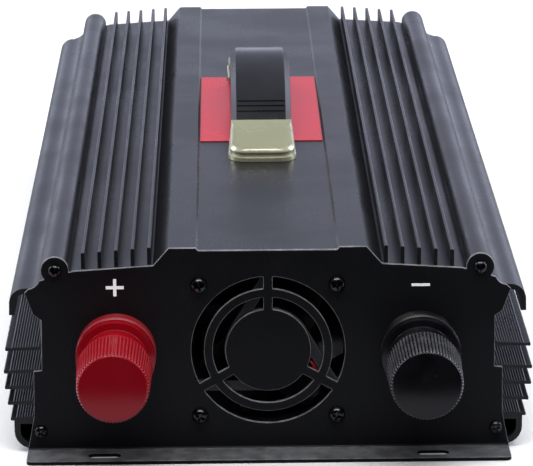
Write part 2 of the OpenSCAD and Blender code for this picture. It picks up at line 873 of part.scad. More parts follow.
// The front end cap: a low wedge with a rounded nose, a stepped end and a mouth for the strap
module handle_cap() {
    step = 1.2;
    color("#a9a27c")
    difference() {
        intersection() {
            along_x(-cap_width, cap_width) polygon([
                [-half_handle, recess_z], [-half_handle, recess_z + cap_end_height - 2 * step],
                [-half_handle + 0.5, recess_z + cap_end_height - 2 * step],
                [-half_handle + 0.5, recess_z + cap_end_height - step],
                [-half_handle + 1, recess_z + cap_end_height - step],
                [-half_handle + 1.6, recess_z + cap_end_height],
                [-mouth_y, recess_z + cap_mouth_height], [-mouth_y, recess_z]
            ]);
            translate([0, 0, recess_z - 1]) linear_extrude(cap_mouth_height + 2) {
                polygon([
                    [-cap_width / 2, -half_handle + cap_corner],
                    [cap_width / 2, -half_handle + cap_corner],
                    [cap_mouth_width / 2 + 1, -mouth_y], [-cap_mouth_width / 2 - 1, -mouth_y]
                ]);
                translate([-cap_width / 2 + cap_corner, -half_handle])
                    square([cap_width - 2 * cap_corner, 2 * cap_corner]);
                for (x = [-1, 1])
                    translate([x * (cap_width / 2 - cap_corner), -half_handle + cap_corner])
                        circle(cap_corner);
            }
        }
        box_between([-strap_width / 2 - assembly_gap, -mouth_y - strap_tuck - assembly_gap,
                     strap_end_z - strap_thickness / 2 - assembly_gap],
                    [strap_width / 2 + assembly_gap, -mouth_y + 1,
                     strap_end_z + strap_thickness / 2 + assembly_gap]);
        for (x = [-1, 1])
            translate([x * handle_screw_x, -handle_screw_y, recess_z - 1])
                cylinder(r = handle_screw_radius + running_gap, h = 5);
    }
}

module handle_front_cap() { handle_cap(); }
module handle_rear_cap() { mirror([0, 1, 0]) handle_cap(); }

module handle_screws() {
    color("#b9bbbd")
    for (x = [-1, 1], y = [-1, 1])
        translate([x * handle_screw_x, y * handle_screw_y, recess_z - cover_wall])
            mirror([0, 0, 1]) pan_screw(handle_screw_radius, cover_wall + 3.6, 3, 2);
}

// ---- Boards and power parts -----------------------------------------------

module at_standoffs() {
    for (p = standoff_places) translate([p[0], p[1], 0]) children();
}

module insulation_sheet() {
    color("#d8d2b8")
    difference() {
        box_between([-board_half_width, board_front, floor_z],
                    [board_half_width, board_rear, floor_z + sheet_thickness]);
        at_standoffs() cylinder(r = standoff_radius + 0.5, h = 20);
    }
}

module pcb_standoffs() {
    color("#c8a951")
    at_standoffs() difference() {
        translate([0, 0, floor_z]) cylinder(r = standoff_radius, h = standoff_height, $fn = 6);
        cylinder(r = board_screw_radius + running_gap, h = 30);
    }
}

module floor_screws() {
    color("#b9bbbd")
    at_standoffs() {
        translate([0, 0, base_z]) cylinder(r1 = 2.7, r2 = board_screw_radius, h = 1.3);
        translate([0, 0, base_z + 1]) cylinder(r = board_screw_radius, h = floor_wall + 1);
    }
}

module main_pcb() {
    color("#2f6b3a")
    difference() {
        box_between([-board_half_width, board_front, board_z],
                    [board_half_width, board_rear, board_top]);
        at_standoffs() cylinder(r = board_screw_radius + screw_gap, h = 30);
    }
}

module pcb_screws() {
    color("#b9bbbd")
    at_standoffs() translate([0, 0, board_top])
        pan_screw(board_screw_radius, board_thickness + 2.5, 2.8, 1.8);
}

module fuses() {
    color("#d58a2a")
    for (i = [0:5]) translate([-62 + i * 8, fuse_y, board_top]) {
        translate([-2.5, -9.5, 6]) cube([5, 19, 12]);
        for (y = [-8, 5.5]) translate([-0.4, y, 0]) cube([0.8, 2.5, 6 + eps]);
    }
}

module can(r, h) {
    cylinder(r = r, h = h - 2);
    translate([0, 0, h - 2.5]) cylinder(r1 = r, r2 = r - 1, h = 2.5);
}

module input_capacitors() {
    color("#23355c")
    for (i = [-2.5:2.5]) translate([i * (input_cap_diameter + 4), input_cap_y, board_top])
        can(input_cap_diameter / 2, 36);
}

module at_transformers() {
    for (x = [-1, 1], y = transformer_ys) translate([x * transformer_x, y, board_top + 2]) children();
}

// A pair of E cores: a ring with a middle limb
module transformer_cores() {
    color("#3a3d42")
    at_transformers() translate([0, core_size[1] / 2 - 10, 0]) rotate([90, 0, 0])
        linear_extrude(core_size[1] - 20) difference() {
            translate([-core_size[0] / 2, 0]) square([core_size[0], core_size[2]]);
            for (x = [-1, 1])
                translate([x * (core_size[0] / 4 + 0.5) - 5, 6]) square([10, core_size[2] - 12]);
        }
}

module transformer_windings() {
    limb = core_size[0] / 2 + 1 - 10;
    color("#c98a2b")
    at_transformers() {
        translate([0, 0, 6 + winding_gap]) linear_extrude(core_size[2] - 12 - 2 * winding_gap)
            difference() {
                rounded_square([limb + 20 - 2 * winding_gap, core_size[1]], 4);
                square([limb + 2 * winding_gap, core_size[1] - 20 + 2 * winding_gap], center = true);
            }
        for (y = [-1, 1]) translate([-8, y * 15 - 2, -2]) cube([16, 4, 8 + winding_gap + eps]);
    }
}

function transistor_ys() = [
    for (i = [0:transistors_per_side - 1]) (i - (transistors_per_side - 1) / 2) * transistor_pitch
];
function clamp_screw_ys() = [
    for (i = [0:transistors_per_side - 2])
        (i - (transistors_per_side - 2) / 2) * transistor_pitch
];
function clamp_z() = transistor_z + transistor_size[2] / 2;
transistor_face = rail_face - pad_thickness - transistor_size[0];

module mosfets() {
    color("#202123")
    both_sides() for (y = transistor_ys()) {
        box_between([transistor_face, y - transistor_size[1] / 2, transistor_z],
                    [rail_face - pad_thickness, y + transistor_size[1] / 2,
                     transistor_z + transistor_size[2]]);
        for (k = [-1:1])
            box_between([transistor_face + 0.6, y + k * 5.4 - 0.6, board_top],
                        [transistor_face + 1.4, y + k * 5.4 + 0.6, transistor_z + eps]);
    }
}

module thermal_pads() {
    reach = transistors_per_side * transistor_pitch / 2;
    color("#b9b7c4")
    both_sides() difference() {
        box_between([rail_face - pad_thickness, -reach, transistor_z - 1],
                    [rail_face, reach, transistor_z + transistor_size[2] + 0.5]);
        for (y = clamp_screw_ys()) translate([rail_face - 2, y, clamp_z()]) rotate([0, 90, 0])
            cylinder(r = clamp_screw_radius + screw_gap, h = 4);
    }
}

module mosfet_clamps() {
    reach = transistors_per_side * transistor_pitch / 2;
    color("#a9abad")
    both_sides() difference() {
        box_between([transistor_face - clamp_thickness, -reach, clamp_z() - 5],
                    [transistor_face, reach, clamp_z() + 5]);
        for (y = clamp_screw_ys()) translate([transistor_face - 4, y, clamp_z()])
            rotate([0, 90, 0]) cylinder(r = clamp_screw_radius + screw_gap, h = 6);
    }
}

module clamp_screws() {
    color("#b9bbbd")
    both_sides() for (y = clamp_screw_ys())
        translate([transistor_face - clamp_thickness, y, clamp_z()]) rotate([0, -90, 0])
            pan_screw(clamp_screw_radius,
                      clamp_thickness + transistor_size[0] + pad_thickness + rail_thickness, 2.6, 1.8);
}

module output_choke() {
    color("#b5762c")
    translate([-40, output_y, board_top + 9]) rotate_extrude() translate([14, 0]) circle(8);
    color("#b5762c") for (a = [0:90:270])
        translate([-40, output_y, board_top]) rotate(a) translate([14, 0, 0]) cylinder(r = 1.5, h = 4);
}

module output_capacitors() {
    color("#1f1f22")
    for (i = [0:2]) translate([4 + i * (output_cap_diameter + 4), output_y, board_top])
        can(output_cap_diameter / 2, 34);
}

module control_board() {
    color("#2c5f8a")
    box_between([-55, control_board_y, board_top], [55, control_board_y + board_thickness, board_top + 32]);
    color("#202123") for (x = [-40:20:40])
        box_between([x - 6, control_board_y - 3, board_top + 8], [x + 6, control_board_y + eps, board_top + 20]);
}

module terminal_block() {
    color("#3c8a4a")
    for (i = [-1, 1]) difference() {
        box_between([i * 12 - 5, block_y - 5, board_top], [i * 12 + 5, block_y + 5, board_top + 12]);
        rod_y(lead_radius * 2 + assembly_gap, block_y - 2, block_y + 6, i * 12, board_top + 5);
    }
}

// ---- AC sockets, switch and lights ----------------------------------------

// Outlines of the three apertures, widened by w in X for the contacts
module apertures(w = 0) {
    for (s = [-1, 1])
        translate([s * live_x, live_z]) square([blade_width + 2 * w, blade_height], center = true);
    translate([0, earth_z]) square([blade_height + 2 * w, blade_width + 1], center = true);
}

module socket(x) {
    color("#e6e4de")
    translate([x, 0, socket_z]) difference() {
        union() {
            along_y(panel_face, socket_face) rounded_square([socket_width, socket_height], 3);
            along_y(socket_back, panel_face + eps) square(socket_body, center = true);
        }
        along_y(socket_face - aperture_depth, socket_face + 1) apertures();
        along_y(socket_face - aperture_depth, panel_face) apertures(contact_thickness + 0.3);
        for (s = [-1, 1]) rod_y(1.5 + screw_gap, half_length, socket_face + 1, s * socket_screw_x, 0);
    }
}

// Brass leaves on both sides of each aperture
module contacts(x) {
    color("#c9a227")
    translate([x, 0, socket_z])
        along_y(socket_face - aperture_depth + 1, panel_face - 1) {
            for (s = [-1, 1], e = [-1, 1])
                translate([s * live_x + e * (blade_width / 2 + 0.1 + contact_thickness / 2), live_z])
                    square([contact_thickness, blade_height - 0.4], center = true);
            for (e = [-1, 1])
                translate([e * (blade_height / 2 + 0.1 + contact_thickness / 2), earth_z])
                    square([contact_thickness, blade_width + 0.6], center = true);
        }
}

module left_socket() { socket(socket_xs[0]); }
module right_socket() { socket(socket_xs[1]); }
module left_socket_contacts() { contacts(socket_xs[0]); }
module right_socket_contacts() { contacts(socket_xs[1]); }

module socket_screws() {
    color("#b9bbbd")
    for (x = socket_xs, s = [-1, 1])
        translate([x + s * socket_screw_x, socket_face, socket_z]) rotate([-90, 0, 0])
            pan_screw(1.5, 7, 2.6, 1.6);
}

module switch_housing() {
    color("#17181a")
    translate([control_x, 0, switch_z]) difference() {
        union() {
            along_y(panel_face, switch_face) rounded_square(switch_size, 1.5);
            along_y(switch_back, panel_face + eps) square(switch_size - [2, 2], center = true);
        }
        along_y(switch_back + 3, switch_face + 1) square(switch_cavity, center = true);
        translate([-switch_size[0] / 2 - 1, pivot_y, 0]) rotate([0, 90, 0])
            cylinder(r = pivot_radius + running_gap, h = switch_size[0] + 2);
    }
}

// The rocker turns on two pins; its face is a shallow V, and it rests tipped to the off side
module switch_rocker() {
    color("#b01c22")
    translate([control_x, pivot_y, switch_z]) rotate([-switch_tilt, 0, 0]) {
        along_x(-rocker_width / 2, rocker_width / 2) intersection() {
            circle(rocker_radius);
            polygon([
                [-3, -10], [3.6 + 10 * tan(switch_tilt), -10], [3.6, 0],
                [3.6 + 10 * tan(switch_tilt), 10], [-3, 10]
            ]);
        }
        translate([-switch_size[0] / 2 + 1.2, 0, 0]) rotate([0, 90, 0])
            cylinder(r = pivot_radius, h = switch_size[0] - 2.4);
    }
}

module light(x) {
    translate([x, 0, light_z]) {
        rod_y(light_radius, half_length - 5, panel_face);
        translate([0, panel_face, 0]) intersection() {
            sphere(light_radius);
            translate([-5, -eps, -5]) cube([10, 10, 10]);
        }
    }
}

module power_light() { color("#35b04a") light(light_xs[0]); }
module fault_light() { color("#cc2a22") light(light_xs[1]); }

// The earth stud: its thread starts just outside the lock nut
module ground_stud() {
    color("#b9bbbd") {
        rod_y(ground_core_radius, half_length - 1, panel_face + ground_nut_height + screw_gap + eps,
              control_x, ground_z);
        rod_y(ground_radius, panel_face + ground_nut_height + screw_gap, panel_face + 12,
              control_x, ground_z);
        translate([control_x, half_length - 8, ground_z]) rotate([-90, 0, 0])
            cylinder(r = ground_nut_radius, h = 8, $fn = 6);
    }
}

module ground_nut() {
    color("#c8a951")
    translate([control_x, panel_face, ground_z]) rotate([-90, 0, 0]) difference() {
        cylinder(r = ground_nut_radius, h = ground_nut_height, $fn = 6);
        translate([0, 0, -1])
            cylinder(r = ground_core_radius + running_gap, h = ground_nut_height + 2);
    }
}

// ---- Leads ----------------------------------------------------------------

// A fan lead leaves the hub beside a strut, crosses the frame's notch and drops to the board
module fan_lead(k, end_x) {
    off = lead_offsets[k];
    y = -half_length + notch_depth / 2;
    z = mid_z - notch_drop + 1 - 2 * k;
    edge = sqrt(pow(hub_radius, 2) - pow(off, 2)) + 0.6;
    function on_strut(s) = [0.5 * s + 0.866 * off, y, mid_z - 0.866 * s + 0.5 * off];
    lead([
        on_strut(edge), on_strut(edge + 4), on_strut(fan_bore * 0.7 - k), [fan_bore - 5, y, z],
        [fan_radius - 1, y, z], [fan_radius + 3 - 2 * k, y + 1, z - 0.5],
        [fan_radius + 5 - 2 * k, y + 8, z - 5],
        [end_x, board_front - 14, board_top + 3],
        [end_x, board_front + 2, board_top + 3],
        [end_x, board_front + 8, board_top + lead_radius]
    ], lead_radius);
}

module fan_lead_red() { color("#c8202a") fan_lead(0, 36); }
module fan_lead_black() { color("#1c1c1e") fan_lead(1, 32); }

// An output lead runs from its clamp to the back of the right-hand socket
module output_lead(side) {
    z = board_top + 5;
    lead([
        [side * 12, block_y + 0.5, z], [side * 12, block_y + 4, z], [side * 12, block_y + 7, z],
        [side * 11, block_y + 9, z + 6], [side * live_x, socket_back - 6, socket_z + live_z - 1],
        [side * live_x, socket_back - 3, socket_z + live_z],
        [side * live_x, socket_back - 0.1, socket_z + live_z]
    ], lead_radius * 2);
}

module live_lead() { color("#6b3b1e") output_lead(-1); }
module neutral_lead() { color("#2457a8") output_lead(1); }

top_cover();
base_chassis();
front_panel();
rear_panel();
front_panel_screws();
rear_panel_screws();
label_plate();
fan_frame();
fan_rotor();
fan_stator();
fan_screws();
positive_terminal_base();
positive_stud();
positive_washer();
positive_knob();
negative_terminal_base();
negative_stud();
negative_washer();
negative_knob();
terminal_insulators();
terminal_nuts();
positive_busbar();
negative_busbar();
handle_strap();
handle_core();
handle_front_cap();
handle_rear_cap();
handle_screws();
insulation_sheet();
pcb_standoffs();
floor_screws();
main_pcb();
pcb_screws();
fuses();
input_capacitors();
transformer_cores();
transformer_windings();
mosfets();
thermal_pads();
mosfet_clamps();
clamp_screws();
output_choke();
output_capacitors();
control_board();
terminal_block();
left_socket();
right_socket();
left_socket_contacts();
right_socket_contacts();
socket_screws();
switch_housing();
switch_rocker();
power_light();
fault_light();
ground_stud();
ground_nut();
fan_lead_red();
fan_lead_black();
live_lead();
neutral_lead();
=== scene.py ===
import math

import bmesh
import bpy
from mathutils import Matrix, Vector


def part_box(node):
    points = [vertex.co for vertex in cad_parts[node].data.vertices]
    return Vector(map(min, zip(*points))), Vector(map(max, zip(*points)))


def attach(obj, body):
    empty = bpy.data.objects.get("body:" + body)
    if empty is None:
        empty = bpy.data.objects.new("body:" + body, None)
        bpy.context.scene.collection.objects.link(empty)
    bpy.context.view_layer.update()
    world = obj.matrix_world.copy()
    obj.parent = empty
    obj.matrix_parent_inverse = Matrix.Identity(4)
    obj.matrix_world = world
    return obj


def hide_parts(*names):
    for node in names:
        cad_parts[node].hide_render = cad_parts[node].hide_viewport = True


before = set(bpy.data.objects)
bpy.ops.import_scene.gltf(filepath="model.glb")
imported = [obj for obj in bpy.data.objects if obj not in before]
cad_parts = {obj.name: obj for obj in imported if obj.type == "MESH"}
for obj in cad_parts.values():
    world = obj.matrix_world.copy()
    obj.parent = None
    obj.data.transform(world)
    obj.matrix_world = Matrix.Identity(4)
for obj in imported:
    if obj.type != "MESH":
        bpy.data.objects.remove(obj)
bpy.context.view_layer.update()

MM = 0.001
PALE = (0.93, 0.93, 0.93, 1.0)


def box_mm(name):
    """A CAD node's lowest and highest corner in millimetres."""
    return [Vector(corner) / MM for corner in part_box(name)]


knob_low, knob_high = box_mm("negative_knob")
TERMINAL_X = round((knob_low.x + knob_high.x) / 2, 2)
MID_HEIGHT = round((knob_low.z + knob_high.z) / 2, 2)
KNOB_BACK = round(-knob_high.y, 2)
PANEL_THICKNESS = 1.5
PANEL_FACE = round(box_mm("top_cover")[1].y, 2) + PANEL_THICKNESS
cap_low, cap_high = box_mm("handle_rear_cap")
CAP_MOUTH, CAP_END, CAP_SEAT = round(cap_low.y, 2), round(cap_high.y, 2), round(cap_low.z, 2)


# ---- Node trees -----------------------------------------------------------


def node(tree, kind, inputs=None, **settings):
    """A node of that kind. inputs maps a socket to a value, or to the socket that feeds it."""
    made = tree.nodes.new(kind)
    for name, value in settings.items():
        setattr(made, name, value)
    for name, value in (inputs or {}).items():
        if isinstance(value, bpy.types.NodeSocket):
            tree.links.new(value, made.inputs[name])
        else:
            made.inputs[name].default_value = value
    return made


def new_group(name, kind, inputs, outputs):
    """A node group with named sockets, and its input and output sides."""
    tree = bpy.data.node_groups.new(name, kind)
    for label, socket, value in inputs:
        made = tree.interface.new_socket(name=label, in_out="INPUT", socket_type=socket)
        if value is not None:
            made.default_value = value
    for label, socket in outputs:
        tree.interface.new_socket(name=label, in_out="OUTPUT", socket_type=socket)
    return tree, node(tree, "NodeGroupInput").outputs, node(tree, "NodeGroupOutput").inputs


def math_node(tree, operation, a, b=0.0, c=0.0, clamp=False):
    inputs = {0: a, 1: b, 2: c}
    return node(tree, "ShaderNodeMath", inputs, operation=operation, use_clamp=clamp).outputs[0]


def ramp(tree, value, low, high, to_low=0.0, to_high=1.0):
    """value from low..high to to_low..to_high, smoothly and clamped."""
    return node(
        tree,
        "ShaderNodeMapRange",
        {"Value": value, 1: low, 2: high, 3: to_low, 4: to_high},
        interpolation_type="SMOOTHSTEP",
    ).outputs[0]


def blend_colour(tree, factor, a, b):
    return node(
        tree, "ShaderNodeMix", {0: factor, 6: a, 7: b}, data_type="RGBA"
    ).outputs[2]


def blend_value(tree, factor, a, b):
    return node(tree, "ShaderNodeMix", {0: factor, 2: a, 3: b}, data_type="FLOAT").outputs[0]


def fine_grain():
    """Fine grain and broad uneven tone, for paints, mouldings and castings."""
    tree, given, out = new_group(
        "fine grain",
        "ShaderNodeTree",
        [
            ("Vector", "NodeSocketVector", None),
            ("Grain Scale", "NodeSocketFloat", 2500.0),
            ("Tone Scale", "NodeSocketFloat", 25.0),
        ],
        [("Grain", "NodeSocketFloat"), ("Tone", "NodeSocketFloat"), ("Specks", "NodeSocketFloat")],
    )
    fine = node(
        tree,
        "ShaderNodeTexNoise",
        {"Vector": given["Vector"], "Scale": given["Grain Scale"], "Detail": 3.0, "Roughness": 0.6},
    ).outputs[0]
    broad = node(
        tree,
        "ShaderNodeTexNoise",
        {"Vector": given["Vector"], "Scale": given["Tone Scale"], "Detail": 4.0, "Distortion": 0.1},
    ).outputs[0]
    tree.links.new(fine, out["Grain"])
    tree.links.new(ramp(tree, broad, 0.3, 0.7), out["Tone"])
    tree.links.new(ramp(tree, fine, 0.6, 0.72), out["Specks"])
    return tree


def edge_wear_and_highlight():
    """Patchy rubbing and painted highlight where the edge attribute marks a rounded edge."""
    tree, given, out = new_group(
        "edge wear and highlight",
        "ShaderNodeTree",
        [
            ("Vector", "NodeSocketVector", None),
            ("Edge", "NodeSocketFloat", 0.0),
            ("Amount", "NodeSocketFloat", 0.5),
            ("Scale", "NodeSocketFloat", 160.0),
        ],
        [("Mask", "NodeSocketFloat")],
    )
    patches = node(
        tree,
        "ShaderNodeTexNoise",
        {"Vector": given["Vector"], "Scale": given["Scale"], "Detail": 5.0, "Roughness": 0.65},
    ).outputs[0]
    patchy = ramp(tree, patches, 0.32, 0.68, 0.45, 1.0)
    marked = math_node(tree, "MULTIPLY", given["Edge"], patchy)
    mask = math_node(tree, "MULTIPLY", marked, given["Amount"])
    tree.links.new(mask, out["Mask"])
    return tree


def settled_dust():
    """Loose specks and a thin film on faces that look up."""
    tree, given, out = new_group(
        "settled dust",
        "ShaderNodeTree",
        [
            ("Vector", "NodeSocketVector", None),
            ("Amount", "NodeSocketFloat", 0.3),
            ("Scale", "NodeSocketFloat", 350.0),
        ],
        [("Mask", "NodeSocketFloat")],
    )
    cells = node(
        tree,
        "ShaderNodeTexVoronoi",
        {"Vector": given["Vector"], "Scale": given["Scale"], "Randomness": 1.0},
    ).outputs["Distance"]
    wide = math_node(tree, "MULTIPLY", given["Scale"], 0.3)
    few = node(
        tree, "ShaderNodeTexNoise", {"Vector": given["Vector"], "Scale": wide, "Detail": 2.0}
    ).outputs[0]
    specks = math_node(tree, "MULTIPLY", ramp(tree, cells, 0.16, 0.08), ramp(tree, few, 0.52, 0.6))
    film = ramp(tree, few, 0.35, 0.75, 0.0, 0.25)
    normal = node(tree, "ShaderNodeTexCoord").outputs["Normal"]
    height = node(tree, "ShaderNodeSeparateXYZ", {0: normal}).outputs["Z"]
    up = ramp(tree, height, -0.2, 0.9, 0.25, 1.0)
    both = math_node(tree, "MULTIPLY", math_node(tree, "ADD", specks, film), up)
    tree.links.new(math_node(tree, "MULTIPLY", both, given["Amount"], clamp=True), out["Mask"])
    return tree


def drawn_lines():
    """Fine lines along the case, as an extrusion die or a brush leaves them."""
    tree, given, out = new_group(
        "drawn lines",
        "ShaderNodeTree",
        [
            ("Vector", "NodeSocketVector", None),
            ("Direction", "NodeSocketVector", (1.0, 0.01, 1.0)),
            ("Scale", "NodeSocketFloat", 900.0),
        ],
        [("Lines", "NodeSocketFloat")],
    )
    stretched = node(
        tree, "ShaderNodeVectorMath", {0: given["Vector"], 1: given["Direction"]}, operation="MULTIPLY"
    ).outputs[0]
    lines = node(
        tree, "ShaderNodeTexNoise", {"Vector": stretched, "Scale": given["Scale"], "Detail": 3.0}
    ).outputs[0]
    tree.links.new(lines, out["Lines"])
    return tree


GRAIN, WEAR_AND_HIGHLIGHT, DUST, LINES = fine_grain(), edge_wear_and_highlight(), settled_dust(), drawn_lines()


def use_group(tree, group, inputs):
    return node(tree, "ShaderNodeGroup", inputs, node_tree=group).outputs


def finish(
    name,
    colour,
    second,
    roughness=0.4,
    spread=0.06,
    metallic=0.0,
    grain=2500.0,
    tone=25.0,
    depth=0.01,
    specks=None,
    wear=0.0,
    worn_and_highlight=(0.35, 0.36, 0.38),
    worn_and_highlight_roughness=0.3,
    dust=0.0,
    lines=0.0,
    direction=(1.0, 0.01, 1.0),
    **shader,
):
    """A material of two tones, with grain in its height, and wear with painted highlight, dust and drawn
    lines where asked.
    """
    made = bpy.data.materials.new(name)
    made.use_nodes = True
    tree = made.node_tree
    tree.nodes.clear()
    place = node(tree, "ShaderNodeTexCoord").outputs["Object"]
    surface = use_group(
        tree, GRAIN, {"Vector": place, "Grain Scale": grain, "Tone Scale": tone}
    )
    fine_share = math_node(tree, "MULTIPLY", surface["Grain"], 0.4)
    shade = math_node(tree, "MULTIPLY_ADD", surface["Tone"], 0.6, fine_share)
    paint = blend_colour(tree, shade, (*colour, 1.0), (*second, 1.0))
    rough = ramp(tree, shade, 0.1, 0.9, roughness - spread, roughness + spread)
    height = surface["Grain"]
    if lines:
        drawn = use_group(tree, LINES, {"Vector": place, "Direction": direction})["Lines"]
        height = blend_value(tree, lines, height, drawn)
        uneven = math_node(tree, "SUBTRACT", drawn, 0.5)
        rough = math_node(tree, "MULTIPLY_ADD", uneven, 0.25 * lines, rough)
    if specks:
        paint = blend_colour(tree, surface["Specks"], paint, (*specks, 1.0))
    # The worn colour is rubbing on some pieces and painted highlight and sheen on others.
    if wear:
        marked = node(tree, "ShaderNodeAttribute", attribute_name="edge").outputs["Fac"]
        rubbed_and_highlit = use_group(tree, WEAR_AND_HIGHLIGHT, {"Vector": place, "Edge": marked, "Amount": wear})["Mask"]
        paint = blend_colour(tree, rubbed_and_highlit, paint, (*worn_and_highlight, 1.0))
        rough = blend_value(tree, rubbed_and_highlit, rough, worn_and_highlight_roughness)
    if dust:
        dusty = use_group(tree, DUST, {"Vector": place, "Amount": dust})["Mask"]
        paint = blend_colour(tree, dusty, paint, (0.42, 0.40, 0.37, 1.0))
        rough = blend_value(tree, dusty, rough, 0.9)
    bump = node(tree, "ShaderNodeBump", {"Height": height, "Strength": 1.0, "Distance": depth * MM})
    principled = node(
        tree,
        "ShaderNodeBsdfPrincipled",
        {
            "Base Color": paint,
            "Roughness": rough,
            "Metallic": metallic,
            "Normal": bump.outputs[0],
            **shader,
        },
    )
    output = node(tree, "ShaderNodeOutputMaterial")
    tree.links.new(principled.outputs[0], output.inputs[0])
    return made


# Colours are linear, and depth is the height of the grain in millimetres.
FINISHES = {
    "case_paint": finish(
        "case satin charcoal", (0.008, 0.0083, 0.0095), (0.013, 0.0135, 0.0155), 0.3, 0.05,
        grain=3200, depth=0.006, specks=(0.045, 0.047, 0.052), wear=0.35, lines=0.12, dust=0.01,
    ),
    # On the panel the pale worn colour is partly bare metal and partly painted highlight on the cut
    # sides, and on the foot's top it is a painted reflection.
    "panel_paint": finish(
        "panel black powder coat", (0.0052, 0.0056, 0.0072), (0.0085, 0.009, 0.011), 0.42, 0.06,
        grain=2200, depth=0.03, specks=(0.022, 0.023, 0.029), wear=1.0, worn_and_highlight=(0.30, 0.305, 0.32),
        dust=0.02, **{"Specular IOR Level": 0.22},
    ),
    "screw_black": finish(
        "screw black oxide", (0.06, 0.06, 0.065), (0.10, 0.10, 0.11), 0.24, 0.05,
        metallic=1.0, grain=4000, depth=0.004,
    ),
    "label_red": finish(
        "label red film", (0.46, 0.014, 0.026), (0.53, 0.022, 0.034), 0.24, 0.04,
        grain=1800, depth=0.002, **{"Specular IOR Level": 0.24},
    ),
    "fan_plastic": finish(
        "fan black plastic", (0.010, 0.010, 0.012), (0.018, 0.018, 0.021), 0.34, 0.06,
        grain=1600, depth=0.012, wear=0.2, dust=0.12,
    ),
    "copper": finish(
        "copper", (0.70, 0.30, 0.15), (0.82, 0.42, 0.24), 0.3, 0.08, metallic=1.0, lines=0.5,
    ),
    # The knobs' pale worn colours, which cover their ribs, are partly rubbing and partly a painted
    # sheen.
    "knob_red": finish(
        "knob glossy red", (0.27, 0.0018, 0.0075), (0.33, 0.003, 0.011), 0.11, 0.03,
        grain=900, depth=0.004, wear=0.1, worn_and_highlight=(0.50, 0.20, 0.23), dust=0.05,
    ),
    "knob_black": finish(
        "knob glossy black", (0.003, 0.003, 0.0042), (0.006, 0.006, 0.0075), 0.11, 0.03,
        grain=900, depth=0.004, wear=0.6, worn_and_highlight=(0.12, 0.12, 0.13), dust=0.15,
    ),
    "brass": finish(
        "brass", (0.70, 0.50, 0.20), (0.80, 0.62, 0.32), 0.28, 0.08, metallic=1.0, lines=0.4,
    ),
    "insulator_red": finish(
        "insulator red moulding", (0.30, 0.012, 0.015), (0.42, 0.02, 0.024), 0.45,
        grain=1500, depth=0.02,
    ),
    "plated_steel": finish(
        "zinc plated steel", (0.50, 0.51, 0.53), (0.68, 0.69, 0.70), 0.3, 0.08,
        metallic=1.0, lines=0.3, grain=1800,
    ),
    "strap_rubber": finish(
        "strap dark rubber", (0.006, 0.006, 0.0072), (0.011, 0.011, 0.013), 0.26, 0.05,
        grain=1500, depth=0.02, wear=0.2, worn_and_highlight=(0.06, 0.06, 0.065), dust=0.03,
        **{"Specular IOR Level": 0.65},
    ),
    # The cap's pale cream worn colour is mostly a painted highlight along the rolled edge, with some
    # rubbing on the sides.
    "cap_gold": finish(
        "cap champagne gold", (0.31, 0.32, 0.185), (0.375, 0.375, 0.235), 0.27, 0.04,
        metallic=0.35, grain=2600, depth=0.006, wear=0.75, worn_and_highlight=(0.92, 0.90, 0.76),
        worn_and_highlight_roughness=0.22,
    ),
    "fish_paper": finish(
        "insulation sheet", (0.55, 0.50, 0.36), (0.68, 0.63, 0.48), 0.7, grain=1400, depth=0.03
    ),
    "board_green": finish(
        "circuit board green", (0.015, 0.11, 0.03), (0.03, 0.17, 0.05), 0.35, grain=700, depth=0.02
    ),
    "board_blue": finish(
        "circuit board blue", (0.01, 0.05, 0.16), (0.02, 0.08, 0.24), 0.35, grain=700, depth=0.02
    ),
    "fuse_amber": finish(
        "fuse amber plastic", (0.55, 0.25, 0.02), (0.70, 0.36, 0.04), 0.3, grain=900
    ),
    "can_sleeve": finish(
        "capacitor sleeve", (0.012, 0.014, 0.03), (0.02, 0.022, 0.05), 0.3, grain=800, depth=0.006
    ),
    "ferrite": finish("ferrite core", (0.02, 0.02, 0.022), (0.05, 0.05, 0.052), 0.6, depth=0.04),
    "winding": finish(
        "enamelled winding", (0.40, 0.14, 0.03), (0.58, 0.24, 0.06), 0.3,
        metallic=0.6, lines=0.7, direction=(0.05, 0.05, 1.0),
    ),
    "chip_black": finish("chip black", (0.012, 0.012, 0.013), (0.022, 0.022, 0.024), 0.5),
    "thermal_grey": finish("thermal pad grey", (0.30, 0.32, 0.34), (0.40, 0.42, 0.44), 0.75),
    "block_green": finish("terminal block green", (0.02, 0.20, 0.06), (0.03, 0.28, 0.09), 0.4),
    "socket_cream": finish(
        "socket cream plastic", (0.62, 0.60, 0.52), (0.70, 0.68, 0.60), 0.28, 0.05,
        grain=1300, depth=0.006, wear=0.15, worn_and_highlight=(0.8, 0.78, 0.72), dust=0.12,
    ),
    "switch_black": finish(
        "switch black plastic", (0.010, 0.010, 0.011), (0.018, 0.018, 0.020), 0.35, grain=1300, dust=0.08
    ),
    "switch_red": finish(
        "rocker red plastic", (0.42, 0.008, 0.010), (0.52, 0.014, 0.018), 0.22, grain=1300, depth=0.005
    ),
    "light_green": finish(
        "green lens", (0.03, 0.50, 0.09), (0.05, 0.62, 0.13), 0.15, grain=1200, depth=0.003
    ),
    "light_red": finish(
        "red lens", (0.55, 0.02, 0.015), (0.66, 0.035, 0.025), 0.15, grain=1200, depth=0.003
    ),
    "lead_red": finish("red lead sheath", (0.45, 0.01, 0.012), (0.58, 0.02, 0.02), 0.4, grain=900),
    "lead_black": finish("black lead sheath", (0.01, 0.01, 0.011), (0.02, 0.02, 0.022), 0.4, grain=900),
    "lead_brown": finish("brown lead sheath", (0.12, 0.04, 0.015), (0.18, 0.06, 0.02), 0.4, grain=900),
    "lead_blue": finish("blue lead sheath", (0.01, 0.05, 0.30), (0.015, 0.08, 0.42), 0.4, grain=900),
}
